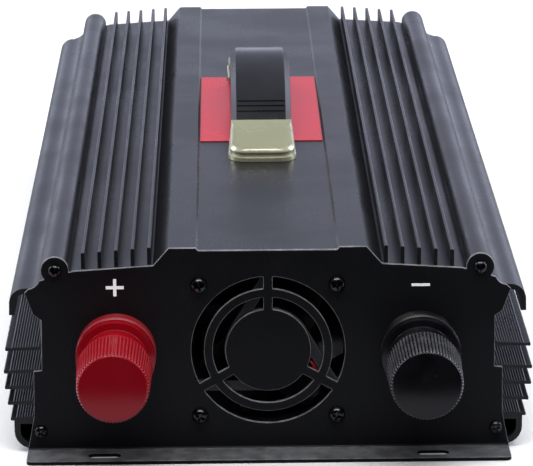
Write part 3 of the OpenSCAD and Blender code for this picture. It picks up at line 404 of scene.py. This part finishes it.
# The marks' white glows faintly by emission: painted light that makes the print brighter than the lamps
# do.
MARK_WHITE_GLOWING = finish(
    "printed mark white glowing", (0.86, 0.86, 0.86), (0.94, 0.94, 0.94), 0.5, grain=3000,
    **{"Emission Color": (1.0, 1.0, 1.0, 1.0), "Emission Strength": 0.3},
)
BASE_FINISHES = {
    "knob_red": finish(
        "terminal base red", (0.27, 0.004, 0.011), (0.36, 0.010, 0.020), 0.3, 0.08,
        grain=1200, depth=0.02, wear=0.25, worn_and_highlight=(0.75, 0.22, 0.25), dust=0.35,
    ),
    "knob_black": finish(
        "terminal base black", (0.004, 0.004, 0.005), (0.009, 0.009, 0.010), 0.3, 0.08,
        grain=1200, depth=0.02, wear=0.25, worn_and_highlight=(0.07, 0.07, 0.075), dust=0.35,
    ),
}


# ---- Meshes ---------------------------------------------------------------


def new_object(name, points, faces):
    """A mesh object from points in millimetres."""
    mesh = bpy.data.meshes.new(name)
    mesh.from_pydata([Vector(p) * MM for p in points], [], faces)
    made = bpy.data.objects.new(name, mesh)
    bpy.context.scene.collection.objects.link(made)
    return made


def edit(thing, job):
    """Runs job on the object's mesh as a bmesh."""
    work = bmesh.new()
    work.from_mesh(thing.data)
    job(work)
    work.to_mesh(thing.data)
    work.free()


def merge_and_face_out(thing):
    def job(work):
        bmesh.ops.remove_doubles(work, verts=work.verts, dist=1e-6)
        bmesh.ops.recalc_face_normals(work, faces=work.faces)

    edit(thing, job)


def smooth(thing, angle=35):
    """Smooth shading that keeps flat faces flat and sharp edges sharp."""
    thing.data.shade_smooth()
    thing.data.set_sharp_from_angle(angle=math.radians(angle))
    weigh = thing.modifiers.new("weigh", "WEIGHTED_NORMAL")
    weigh.weight = 100
    weigh.keep_sharp = True
    apply_modifiers(thing)


def apply_modifiers(thing):
    """Replaces the object's mesh with what its modifiers make of it."""
    seen = bpy.context.evaluated_depsgraph_get()
    mesh = bpy.data.meshes.new_from_object(
        thing.evaluated_get(seen), preserve_all_data_layers=True, depsgraph=seen
    )
    thing.modifiers.clear()
    thing.data = mesh


def round_edges(thing, width, segments=2, chosen=None):
    """Rounds the sharp edges, or the chosen ones of them, and marks the new faces as edge."""
    sharpest = math.radians(40)
    while len(thing.data.materials) < 2:
        thing.data.materials.append(None)
    bevel = thing.modifiers.new("round", "BEVEL")
    bevel.width = width * MM
    bevel.segments = segments
    bevel.limit_method = "ANGLE"
    bevel.angle_limit = sharpest
    if chosen:
        bevel.limit_method = "WEIGHT"

        def weigh(work):
            layer = work.edges.layers.float.new("bevel_weight_edge")
            for line in work.edges:
                sharp = line.calc_face_angle(0) > sharpest
                line[layer] = float(sharp and all(chosen(v.co) for v in line.verts))

        edit(thing, weigh)
    bevel.use_clamp_overlap = False
    bevel.miter_outer = "MITER_ARC"
    bevel.material = 1
    apply_modifiers(thing)
    mark_wear_and_highlight(thing, lambda face: float(face.material_index == 1))
    for face in thing.data.polygons:
        face.material_index = 0


def mark_wear_and_highlight(thing, amount):
    """Marks each face with how much it is rubbed and how much painted highlight it takes."""
    edge = thing.data.attributes.new("edge", "FLOAT", "FACE")
    for face in thing.data.polygons:
        edge.data[face.index].value = amount(face)


def put(thing, slot, body, *stands_for, material=None):
    """Gives the piece its finish and its body, and hides the CAD nodes it stands for."""
    thing.data.materials.clear()
    thing.data.materials.append(material or FINISHES[slot])
    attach(thing, body)
    if stands_for:
        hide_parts(*stands_for)
    return thing


def cut_metal_and_foot_sheen(face):
    """How pale a sheet's face is painted: its cut sides, partly bare metal and partly a painted
    highlight, and the top of its foot, a painted reflection of a shiny band.
    """
    on_sheet = abs(face.center.y) < (PANEL_FACE + 0.8) * MM
    if abs(face.normal.y) < 0.3 and on_sheet:
        return 0.75
    return 0.5 if face.normal.z > 0.9 else 0.0


def refined(
    name, source, slot, body="case", width=0.25, segments=2, bare_and_sheen=None, material=None, chosen=None
):
    """A CAD node's shape with merged faces, rounded edges and smooth curves.

    The argument after segments gives each face's wear and painted highlight, and chosen picks the edges
    to round by their ends.
    """
    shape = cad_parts[source].data
    thing = new_object(
        name, [v.co / MM for v in shape.vertices], [tuple(f.vertices) for f in shape.polygons]
    )

    def job(work):
        bmesh.ops.remove_doubles(work, verts=work.verts, dist=2e-6)
        if not chosen:
            bmesh.ops.dissolve_limit(
                work, angle_limit=math.radians(0.4), verts=work.verts, edges=work.edges
            )

    edit(thing, job)
    if width:
        round_edges(thing, width, segments, chosen)
    if bare_and_sheen:
        edge = thing.data.attributes["edge"].data
        for face in thing.data.polygons:
            edge[face.index].value = max(edge[face.index].value, bare_and_sheen(face))
    smooth(thing)
    return put(thing, slot, body, source, material=material)


def lathe(name, outline, steps, centre=(0.0, 0.0), forward=-1):
    """Turns an outline of (radius, distance along Y) round an axis along Y.

    The outline starts and ends on the axis, or closes on itself.
    """
    points, rings = [], []
    for radius, along in outline:
        if radius < 1e-6:
            rings.append([len(points)])
            points.append((centre[0], forward * along, centre[1]))
            continue
        rings.append(list(range(len(points), len(points) + steps)))
        for k in range(steps):
            turn = math.tau * k / steps
            x, z = centre[0] + radius * math.cos(turn), centre[1] + radius * math.sin(turn)
            points.append((x, forward * along, z))
    faces = []
    for a, b in zip(rings, rings[1:]):
        for k in range(steps):
            corner = [a[k % len(a)], a[(k + 1) % len(a)], b[(k + 1) % len(b)], b[k % len(b)]]
            faces.append(tuple(dict.fromkeys(corner)))
    thing = new_object(name, points, faces)
    merge_and_face_out(thing)
    return thing


def loft(name, sections):
    """Joins sections of as many points each into a tube with closed ends."""
    count = len(sections[0])
    points = [p for section in sections for p in section]
    faces = []
    for start in range(0, len(points) - count, count):
        for j in range(count):
            k = (j + 1) % count
            faces.append((start + j, start + k, start + count + k, start + count + j))
    faces += [tuple(range(count)), tuple(range(len(points) - count, len(points)))]
    thing = new_object(name, points, faces)
    merge_and_face_out(thing)
    return thing


def join(name, *things):
    """Puts the things' meshes into one new object."""
    work = bmesh.new()
    for thing in things:
        work.from_mesh(thing.data)
        bpy.data.objects.remove(thing)
    mesh = bpy.data.meshes.new(name)
    work.to_mesh(mesh)
    work.free()
    made = bpy.data.objects.new(name, mesh)
    bpy.context.scene.collection.objects.link(made)
    return made


# ---- Geometry node trees --------------------------------------------------


def ring_tree():
    """Copies of the mesh turned evenly round an axis along Y."""
    tree, given, out = new_group(
        "ring of copies",
        "GeometryNodeTree",
        [
            ("Geometry", "NodeSocketGeometry", None),
            ("Count", "NodeSocketInt", 7),
            ("Centre", "NodeSocketVector", (0.0, 0.0, 0.0)),
            ("Material", "NodeSocketMaterial", None),
        ],
        [("Geometry", "NodeSocketGeometry")],
    )
    points = node(tree, "GeometryNodePoints", {"Count": given["Count"], "Position": given["Centre"]})
    index = node(tree, "GeometryNodeInputIndex").outputs[0]
    step = math_node(tree, "DIVIDE", math.tau, given["Count"])
    around = math_node(tree, "MULTIPLY", index, step)
    turn = node(tree, "ShaderNodeCombineXYZ", {"Y": around}).outputs[0]
    copies = node(
        tree,
        "GeometryNodeInstanceOnPoints",
        {"Points": points.outputs[0], "Instance": given["Geometry"], "Rotation": turn},
    ).outputs[0]
    real = node(tree, "GeometryNodeRealizeInstances", {"Geometry": copies}).outputs[0]
    painted = node(
        tree, "GeometryNodeSetMaterial", {"Geometry": real, "Material": given["Material"]}
    ).outputs[0]
    tree.links.new(painted, out["Geometry"])
    return tree


def places_tree():
    """A copy of the mesh at each point of Places, turned by its facing attribute and a random twist."""
    tree, given, out = new_group(
        "copies at places",
        "GeometryNodeTree",
        [
            ("Geometry", "NodeSocketGeometry", None),
            ("Places", "NodeSocketObject", None),
            ("Twist", "NodeSocketFloat", math.pi),
            ("Seed", "NodeSocketInt", 1),
            ("Material", "NodeSocketMaterial", None),
        ],
        [("Geometry", "NodeSocketGeometry")],
    )
    places = node(tree, "GeometryNodeObjectInfo", {"Object": given["Places"]}).outputs["Geometry"]
    facing = node(
        tree, "GeometryNodeInputNamedAttribute", {"Name": "facing"}, data_type="FLOAT_VECTOR"
    ).outputs[0]
    copies = node(
        tree,
        "GeometryNodeInstanceOnPoints",
        {"Points": places, "Instance": given["Geometry"], "Rotation": facing},
    ).outputs[0]
    chance = node(
        tree,
        "FunctionNodeRandomValue",
        {2: 0.0, 3: given["Twist"], "Seed": given["Seed"]},
        data_type="FLOAT",
    ).outputs[1]
    twist = node(tree, "ShaderNodeCombineXYZ", {"Z": chance}).outputs[0]
    turned = node(
        tree,
        "GeometryNodeRotateInstances",
        {"Instances": copies, "Rotation": twist, "Local Space": True},
    ).outputs[0]
    real = node(tree, "GeometryNodeRealizeInstances", {"Geometry": turned}).outputs[0]
    painted = node(
        tree, "GeometryNodeSetMaterial", {"Geometry": real, "Material": given["Material"]}
    ).outputs[0]
    tree.links.new(painted, out["Geometry"])
    return tree


RING, AT_PLACES = ring_tree(), places_tree()


def grow(thing, tree, **values):
    """Runs a geometry tree on the object with these inputs and keeps the mesh it makes."""
    modifier = thing.modifiers.new("grow", "NODES")
    modifier.node_group = tree
    for item in tree.interface.items_tree:
        if item.in_out == "INPUT" and item.name in values:
            modifier[item.identifier] = values[item.name]
    apply_modifiers(thing)
    return thing


# ---- Camera, floor and light ----------------------------------------------


def camera():
    """A long lens from the front, a little above the case."""
    eye = Vector((-0.0160, -1.2986, 0.4016))
    down, aside, tilt = math.radians(16.24), math.radians(0.82), math.radians(0.33)
    forward = Vector(
        (math.sin(aside) * math.cos(down), math.cos(aside) * math.cos(down), -math.sin(down))
    )
    right = Vector((math.cos(aside), -math.sin(aside), 0))
    below = forward.cross(right)
    level = math.cos(tilt) * right + math.sin(tilt) * below
    under = -math.sin(tilt) * right + math.cos(tilt) * below
    turn = Matrix((level, -under, -forward)).transposed().to_4x4()
    data = bpy.data.cameras.new("camera")
    data.lens = 213.3
    data.sensor_width = 36
    data.clip_start, data.clip_end = 0.05, 30
    made = bpy.data.objects.new("camera", data)
    made.matrix_world = Matrix.Translation(eye) @ turn
    bpy.context.scene.collection.objects.link(made)
    bpy.context.scene.camera = made


def studio_floor():
    """A pale floor that glows faintly far off, so it stays even to its end."""
    size = 8000
    corners = [(-size, -size, 0), (size, -size, 0), (size, size, 0), (-size, size, 0)]
    made = new_object("studio_floor", corners, [(0, 1, 2, 3)])
    paint = bpy.data.materials.new("floor white")
    paint.use_nodes = True
    tree = paint.node_tree
    tree.nodes.clear()
    straight = node(tree, "ShaderNodeLightPath").outputs["Is Camera Ray"]
    seen = blend_colour(tree, straight, (0.30, 0.305, 0.325, 1), PALE)
    soft = node(tree, "ShaderNodeBsdfDiffuse", {"Color": seen}).outputs[0]
    place = node(tree, "ShaderNodeTexCoord").outputs["Object"]
    distance = node(tree, "ShaderNodeVectorMath", {0: place}, operation="LENGTH").outputs["Value"]
    far = math_node(tree, "MULTIPLY", ramp(tree, distance, 0.7, 2.6), straight)
    pale = node(tree, "ShaderNodeEmission", {"Color": PALE}).outputs[0]
    mixed = node(tree, "ShaderNodeMixShader", {0: far, 1: soft, 2: pale})
    output = node(tree, "ShaderNodeOutputMaterial")
    tree.links.new(mixed.outputs[0], output.inputs[0])
    made.data.materials.append(paint)


def area_light(name, place, aim, size, power, colour=(1, 1, 1), glossy=True):
    """A rectangular light at place that shines at aim, with lengths in metres and power in watts."""
    data = bpy.data.lights.new(name, "AREA")
    data.shape = "RECTANGLE"
    data.size, data.size_y = size
    data.energy = power
    data.color = colour
    made = bpy.data.objects.new(name, data)
    made.location = place
    made.rotation_euler = (Vector(aim) - Vector(place)).to_track_quat("-Z", "Y").to_euler()
    made.visible_glossy = glossy
    bpy.context.scene.collection.objects.link(made)
    return made


def shade_card():
    """A black card low in front, which only the glossy knobs and the panel mirror."""
    reach, y, low, high = 700, -347, 0.5, 160
    corners = [(-reach, y, low), (reach, y, low), (reach, y, high), (-reach, y, high)]
    made = new_object("shade_card", corners, [(0, 1, 2, 3)])
    paint = bpy.data.materials.new("card black")
    paint.use_nodes = True
    inputs = paint.node_tree.nodes["Principled BSDF"].inputs
    inputs["Base Color"].default_value = (0.004, 0.004, 0.005, 1)
    inputs["Specular IOR Level"].default_value = 0
    made.data.materials.append(paint)
    made.visible_camera = made.visible_diffuse = made.visible_shadow = False


def studio():
    """The room that the case mirrors, bright behind and low down, with soft lights round it."""
    world = bpy.data.worlds.new("studio")
    bpy.context.scene.world = world
    world.use_nodes = True
    tree = world.node_tree
    tree.nodes.clear()
    direction = node(tree, "ShaderNodeTexCoord").outputs["Generated"]
    way = node(tree, "ShaderNodeSeparateXYZ", {0: direction}).outputs
    back = ramp(tree, way["Y"], -0.25, 0.35)
    low = math_node(tree, "MULTIPLY", back, ramp(tree, way["Z"], 0.32, 0.0))
    room = blend_colour(tree, back, (0.06, 0.06, 0.07, 1), (0.315, 0.335, 0.425, 1))
    sideways = ramp(tree, way["X"], -0.25, 0.25, 0.88, 1.22)
    bright = math_node(tree, "MULTIPLY_ADD", low, 2.3, sideways)
    lit = node(tree, "ShaderNodeBackground", {"Color": room, "Strength": bright}).outputs[0]
    backdrop = node(tree, "ShaderNodeBackground", {"Color": PALE}).outputs[0]
    straight = node(tree, "ShaderNodeLightPath").outputs["Is Camera Ray"]
    seen = node(tree, "ShaderNodeMixShader", {0: straight, 1: lit, 2: backdrop})
    tree.links.new(seen.outputs[0], node(tree, "ShaderNodeOutputWorld").inputs[0])
    area_light("top_strip", (0.0, -0.62, 1.05), (0, -0.15, 0), (1.0, 0.22), 6.0)
    for name, x in (("left_box", -1.0), ("right_box", 1.0)):
        area_light(name, (x, 0.25, 0.5), (0, 0, 0.05), (0.5, 0.9), 9.0, (0.95, 0.97, 1.0))
    area_light("fill", (0, 0, 2.2), (0, 0, 0), (3.0, 3.0), 45.0, glossy=False)
    scene = bpy.context.scene
    scene.view_settings.view_transform = "Standard"
    scene.view_settings.look = "None"


# ---- Pieces ---------------------------------------------------------------


def case_pieces():
    """The shells, panels, label and fan housing keep the CAD's shape, with their edges finished."""
    refined("cover_shell", "top_cover", "case_paint", width=0)
    refined("base_shell", "base_chassis", "case_paint", width=0)
    refined("front_plate", "front_panel", "panel_paint", width=0.2, bare_and_sheen=cut_metal_and_foot_sheen)
    refined("rear_plate", "rear_panel", "panel_paint", width=0.2, bare_and_sheen=cut_metal_and_foot_sheen)
    refined("label_film", "label_plate", "label_red", width=0.08, segments=1)
    refined("fan_housing", "fan_frame", "fan_plastic", width=0.25)


def pan_head_screw(name, head, rise, shaft, length):
    """A pan head screw with a cross recess. It points along +Z from its head's underside."""
    profile = [
        (0, rise), (head * 0.55, rise * 0.97), (head * 0.82, rise * 0.78),
        (head * 0.96, rise * 0.42), (head, rise * 0.15), (head * 0.98, 0),
        (shaft, 0), (shaft, -length), (0, -length),
    ]
    screw = lathe(name, profile, 32, forward=1)
    screw.data.transform(Matrix.Rotation(math.radians(90), 4, "X"))
    half, reach, floor = head * 0.14, head * 0.62, rise * 0.3
    arms = []
    for turn in (0, 90):
        sections = []
        for long, wide, z in ((0.45, 0.7, floor), (1.0, 1.15, rise + 0.3)):
            x, y = reach * long, half * wide
            sections.append([(-x, -y, z), (x, -y, z), (x, y, z), (-x, y, z)])
        arm = loft("recess", sections)
        arm.data.transform(Matrix.Rotation(math.radians(turn), 4, "Z"))
        arms.append(arm)
    for arm in arms:
        cut = screw.modifiers.new("recess", "BOOLEAN")
        cut.operation = "DIFFERENCE"
        cut.solver = "EXACT"
        cut.object = arm
        apply_modifiers(screw)
        bpy.data.objects.remove(arm)
    edit(screw, lambda work: bmesh.ops.remove_doubles(work, verts=work.verts, dist=1e-6))
    smooth(screw, 38)
    return screw


def screws(name, places, facing, shape, slot, *stands_for, seed=1):
    """One screw at each place, each turned to its own angle."""
    screw = pan_head_screw(name, *shape)
    spots = new_object("spots", places, [])
    turn = spots.data.attributes.new("facing", "FLOAT_VECTOR", "POINT")
    for item in turn.data:
        item.vector = facing
    grow(screw, AT_PLACES, Places=spots, Seed=seed, Twist=math.pi / 2, Material=FINISHES[slot])
    bpy.data.objects.remove(spots)
    return put(screw, slot, "case", *stands_for)


def all_screws():
    """The fan's, the panels' and the outlets' screws.

    A shape is the head's radius and rise, then the shaft's radius and length.
    """
    forward, backward = (math.radians(90), 0, 0), (math.radians(-90), 0, 0)
    corners = [(s * x, z) for s in (-1, 1) for x, z in ((77.0, 70.0), (83.4, 8.5))]
    fan_reach, outlet_reach = (-25, 25), 20.3
    outlet_places = []
    for word in ("left", "right"):
        least, most = box_mm(word + "_socket")
        x, y, z = round((least.x + most.x) / 2, 2), round(most.y, 2), round((least.z + most.z) / 2, 2)
        outlet_places += [(x - outlet_reach, y, z), (x + outlet_reach, y, z)]
    screws(
        "fan_guard_screws",
        [(x, -PANEL_FACE, MID_HEIGHT + z) for x in fan_reach for z in fan_reach],
        forward, (3.1, 2.2, 1.7, 20), "screw_black", "fan_screws", seed=4,
    )
    screws(
        "front_case_screws", [(x, -PANEL_FACE, z) for x, z in corners],
        forward, (2.45, 1.7, 1.5, 10), "screw_black", "front_panel_screws", seed=7,
    )
    screws(
        "rear_case_screws", [(x, PANEL_FACE, z) for x, z in corners],
        backward, (2.45, 1.7, 1.5, 10), "screw_black", "rear_panel_screws", seed=9,
    )
    screws(
        "outlet_screws", outlet_places,
        backward, (2.6, 1.6, 1.5, 7), "plated_steel", "socket_screws", seed=2,
    )


def knob(side, name, slot):
    """A thumb nut: a collar, a smooth waist that flares out, and fine ribs round a flat end."""
    centre, back = (side * TERMINAL_X, MID_HEIGHT), KNOB_BACK
    ribs, rib_radius, grip, end = 64, 0.42, 15.8, 36

    widest, narrowest = 13.7, 12.95

    def crest(h):
        return widest - (widest - narrowest) * (h - grip) / (end - 1 - grip)

    outline = [
        (0, 22), (4.05, 22), (4.05, 1.5), (9.5, 1.5), (9.5, 0), (13.8, 0), (14.2, 0.15), (14.4, 0.6),
        (14.4, 4.15), (14.3, 4.4), (14.05, 4.5), (12.4, 4.6), (11.95, 4.7), (11.75, 5.0), (11.8, 5.4),
        (12.4, 8.6), (13.05, 12.6), (13.35, 14.8), (13.4, 15.3), (13.25, 15.6), (13.1, 16.2),
        *[(crest(h) - 0.6, h) for h in (17, 22, 28, end - 1.6)],
        (12.4, end - 0.6), (12.3, end - 0.25), (12.05, end - 0.05), (11.7, end), (0, end),
    ]
    body = lathe(name, [(r, back + h) for r, h in outline], 128, centre)

    def section(h, size):
        top = crest(min(h, end - 1)) - max(h - (end - 1), 0) * 0.5
        return [
            (top - rib_radius + size * math.cos(a), -(back + h), size * math.sin(a))
            for a in (math.radians(d) for d in range(-100, 101, 25))
        ]

    stages = [
        (grip - 0.3, 0.5), (grip + 0.1, 0.9), (grip + 0.5, 1), (26, 1),
        (end - 1, 1), (end - 0.5, 0.85), (end - 0.15, 0.5),
    ]
    rib = loft(name + "_rib", [section(h, rib_radius * share) for h, share in stages])
    middle = (centre[0] * MM, 0, centre[1] * MM)
    grow(rib, RING, Count=ribs, Centre=middle, Material=FINISHES[slot])
    # Every rib face is fully marked, so the ribs take the pale worn colour in patches: partly rubbing,
    # partly painted sheen.
    mark_wear_and_highlight(rib, lambda face: 1.0)
    mark_wear_and_highlight(body, lambda face: 0.0)
    whole = join(name, body, rib)
    smooth(whole, 40)
    return whole


def terminals():
    """Each terminal's thumb nut, base moulding, thrust washer and stud."""
    for side, word, colour in ((-1, "positive", "knob_red"), (1, "negative", "knob_black")):
        put(knob(side, word + "_thumb_nut", colour), colour, word + "_knob", word + "_knob")
        refined(
            word + "_base_moulding", word + "_terminal_base", colour, width=0.3, segments=3,
            material=BASE_FINISHES[colour],
        )
        refined(word + "_thrust_washer", word + "_washer", "brass", word + "_washer", width=0.15)
        refined(word + "_threaded_stud", word + "_stud", "brass", width=0.15)


def strap_path():
    """The strap's centre line and its slope: flat in the cap, a bend up, and a round arch."""
    half, tuck, bend, end, top = CAP_MOUTH, 11.0, 12.0, 81.2, 100.5
    rise = top - end
    angle = 2 * math.atan(rise / half)
    arch = half / math.sin(angle) - bend
    path = [(-half - tuck, end, 0.0), (-half - tuck / 2, end, 0.0)]
    for k in range(9):
        a = angle * k / 8
        path.append((-half + bend * math.sin(a), end + bend * (1 - math.cos(a)), a))
    arch_centre = end + rise - arch
    for k in range(1, 49):
        a = angle * (1 - k / 24)
        path.append((-arch * math.sin(a), arch_centre + arch * math.cos(a), a))
    for y, z, a in reversed(path[:10]):
        path.append((-y, z, -a))
    return path


def strap():
    """The carrying strap: a flat band with sloped shoulders and three moulded grooves above each cap."""
    half_top, half_base, shoulder, lower, upper = 9.75, 12.3, 3.7, 2.5, 2.5
    run = [0.0]
    path = strap_path()
    for a, b in zip(path, path[1:]):
        run.append(run[-1] + math.hypot(b[0] - a[0], b[1] - a[1]))
    grooves = [23.0, 25.6, 28.2]
    grooves += [run[-1] - g for g in grooves]
    sides = [g + d for g in grooves for d in (-0.7, -0.35, 0.35, 0.7)]
    stops = sorted({round(s, 3) for s in run + sides})

    def at(s):
        for i in range(len(run) - 1):
            if run[i + 1] >= s - 1e-6:
                f = (s - run[i]) / max(run[i + 1] - run[i], 1e-9)
                return [path[i][k] + f * (path[i + 1][k] - path[i][k]) for k in range(3)]
        return path[-1]

    sections = []
    for s in stops:
        y, z, a = at(s)
        sunk = 0.4 if min(abs(s - g) for g in grooves) < 0.4 else 0.0
        outline = [
            (half_base - 0.3, -lower), (half_base, -lower + 0.3),
            (half_base, upper - shoulder - 0.25), (half_base - 0.25, upper - shoulder),
            (half_top + 0.35, upper - 0.28), (half_top - 0.4, upper - sunk),
        ]
        outline += [(-x, d) for x, d in reversed(outline)]
        sections.append([(x, y - d * math.sin(a), z + d * math.cos(a)) for x, d in outline])
    made = loft("carrying_strap", sections)
    smooth(made, 30)
    return put(made, "strap_rubber", "case", "handle_strap")


def end_cap(name, side, stands_for):
    """A cap over the strap's end: a base band, a groove and a top plate that rises to the strap.

    Each row of rises is a height, how far in the plan lies, and its share of the top's slope.
    """
    mouth, end, half, corner, seat = CAP_MOUTH, CAP_END, 13.5, 7.2, CAP_SEAT
    slope = 4.2
    rises = [
        (0.0, 0.15, 0.0), (0.15, 0.0, 0.0), (1.7, 0.0, 0.0), (2.0, 0.25, 0.0), (2.1, 0.7, 0.0),
        (2.3, 0.75, 0.1), (3.3, 0.75, 0.4), (3.5, 0.45, 0.5), (3.9, 0.4, 0.6), (4.6, 0.7, 0.8),
        (5.2, 1.3, 0.95), (5.6, 2.1, 1.0), (5.8, 3.2, 1.0),
    ]

    def rubbed_and_highlit(face):
        """Most on the rolled edge, where it is a painted highlight, some on the upright sides as
        rubbing, and none on top.
        """
        up = face.normal.z
        if up <= 0:
            return 0.35
        return 1.0 - abs(up - 0.45) / 0.45 if up < 0.9 else 0.0

    sections = []
    for height, inset, share in rises:
        turn = [math.radians(a) for a in range(0, 91, 10)]
        r, w, e = corner - inset * 0.4, half - inset, end - inset
        narrow = min(inset, 0.9)
        plan = [(half - 0.4 - narrow, mouth), (half - 0.3 - inset * 0.9, mouth + 6)]
        plan += [(w - r + r * math.cos(a), e - r + r * math.sin(a)) for a in turn]
        plan += [(-x, y) for x, y in reversed(plan)]
        sections.append(
            [(x, side * y, seat + height + share * slope * (end - y) / (end - mouth)) for x, y in plan]
        )
    made = loft(name, sections)
    mark_wear_and_highlight(made, rubbed_and_highlit)
    smooth(made, 38)
    return put(made, "cap_gold", "case", stands_for)


def handle():
    """The strap and the caps over its ends."""
    strap()
    end_cap("front_end_cap", -1, "handle_front_cap")
    end_cap("rear_end_cap", 1, "handle_rear_cap")


def polarity_marks():
    """A plus and a minus above the terminals, printed on the panel in a white that also glows faintly,
    as painted light.
    """
    aside, height = 55.4, 63.4

    def mark(name, x, outline):
        front, back = -PANEL_FACE - 0.06, -PANEL_FACE + 0.02
        made = loft(name, [[(x + u, y, height + w) for u, w in outline] for y in (front, back)])
        put(made, "panel_paint", "case", material=MARK_WHITE_GLOWING)

    a, b = 3.25, 0.58
    cross = [
        (-b, -a), (b, -a), (b, -b), (a, -b), (a, b), (b, b),
        (b, a), (-b, a), (-b, b), (-a, b), (-a, -b), (-b, -b),
    ]
    mark("plus_mark", -aside, cross)
    a, b = 3.35, 0.5
    mark("minus_mark", aside, [(-a, -b), (a, -b), (a, b), (-a, b)])


def guard_mark():
    """A small embossed ring on the fan guard's disc."""
    face = PANEL_FACE - 0.02
    raised = face + 0.12
    outline = [(1.25, face), (1.35, raised), (1.6, raised), (1.7, face), (1.25, face)]
    made = lathe("guard_ring", outline, 32, (-4.5, MID_HEIGHT - 11.3))
    smooth(made)
    put(made, "panel_paint", "case")


def fan_wheel():
    """Hub and seven swept blades."""
    low, high = box_mm("fan_rotor")
    tip, back = round(-low.y, 2), round(-high.y, 2)
    front, shaft = tip - 1.5, 1.5
    outline = [
        (0, tip), (shaft, tip), (shaft, front), (13.6, front), (14.6, front - 0.5), (15, front - 1.6),
        (15, back), (13.6, back), (13.6, front - 1.4), (shaft, front - 1.4), (shaft, back + 1),
        (0, back + 1),
    ]
    hub = lathe("fan_wheel", outline, 72, (0, MID_HEIGHT))
    smooth(hub, 35)
    depth, middle = 8.6, (front + back) / 2
    stations = []
    root, rim = 14.3, 27.8
    for k in range(9):
        radius = root + (rim - root) * k / 8
        lean = math.radians(50 - 14 * k / 8)
        rows = []
        for sign in (1, -1):
            for j in range(11):
                v = (-1 + 2 * j / 10) * sign
                thick = sign * (0.62 * (1 - v * v) ** 0.5 + 0.08)
                around = depth * math.tan(lean) * v + 1.6 * (1 - v * v) + thick
                turn = around / radius + math.radians(6) * (k / 8) ** 2
                rows.append((radius * math.cos(turn), -(middle - depth * v), radius * math.sin(turn)))
        stations.append(rows)
    blade = loft("blade", stations)
    smooth(blade, 50)
    grow(blade, RING, Count=7, Centre=(0, 0, MID_HEIGHT * MM), Material=FINISHES["fan_plastic"])
    put(join("fan_wheel", hub, blade), "fan_plastic", "fan_rotor", "fan_rotor")


def rear_fittings():
    """The outlets, the switch, the lights and the earth stud. Only the outlets' rims are rounded."""
    for word in ("left", "right"):
        least, most = (Vector(corner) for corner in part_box(word + "_socket"))
        middle, half = (least + most) / 2, (most - least) / 2

        def on_rim(point):
            out = max(abs(point.x - middle.x) / half.x, abs(point.z - middle.z) / half.z)
            return out > 0.93 and point.y > most.y - 1e-5

        refined(
            word + "_outlet", word + "_socket", "socket_cream", width=0.8, segments=3, chosen=on_rim
        )
    refined("rocker_housing", "switch_housing", "switch_black", width=0.25)
    refined("rocker", "switch_rocker", "switch_red", "switch_rocker", width=0.2)
    refined("power_lens", "power_light", "light_green", width=0.3, segments=3)
    refined("fault_lens", "fault_light", "light_red", width=0.3, segments=3)
    refined("earth_nut", "ground_nut", "brass", width=0.3)
    refined("earth_stud", "ground_stud", "plated_steel", width=0.15)


def inner_parts():
    """The CAD nodes that still show get the finish of their slot."""
    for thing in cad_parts.values():
        if thing.hide_render:
            continue
        for place in thing.material_slots:
            place.material = FINISHES[place.material.name.split(".")[0]]


camera()
studio()
studio_floor()
shade_card()
case_pieces()
all_screws()
terminals()
handle()
polarity_marks()
guard_mark()
fan_wheel()
rear_fittings()
inner_parts()
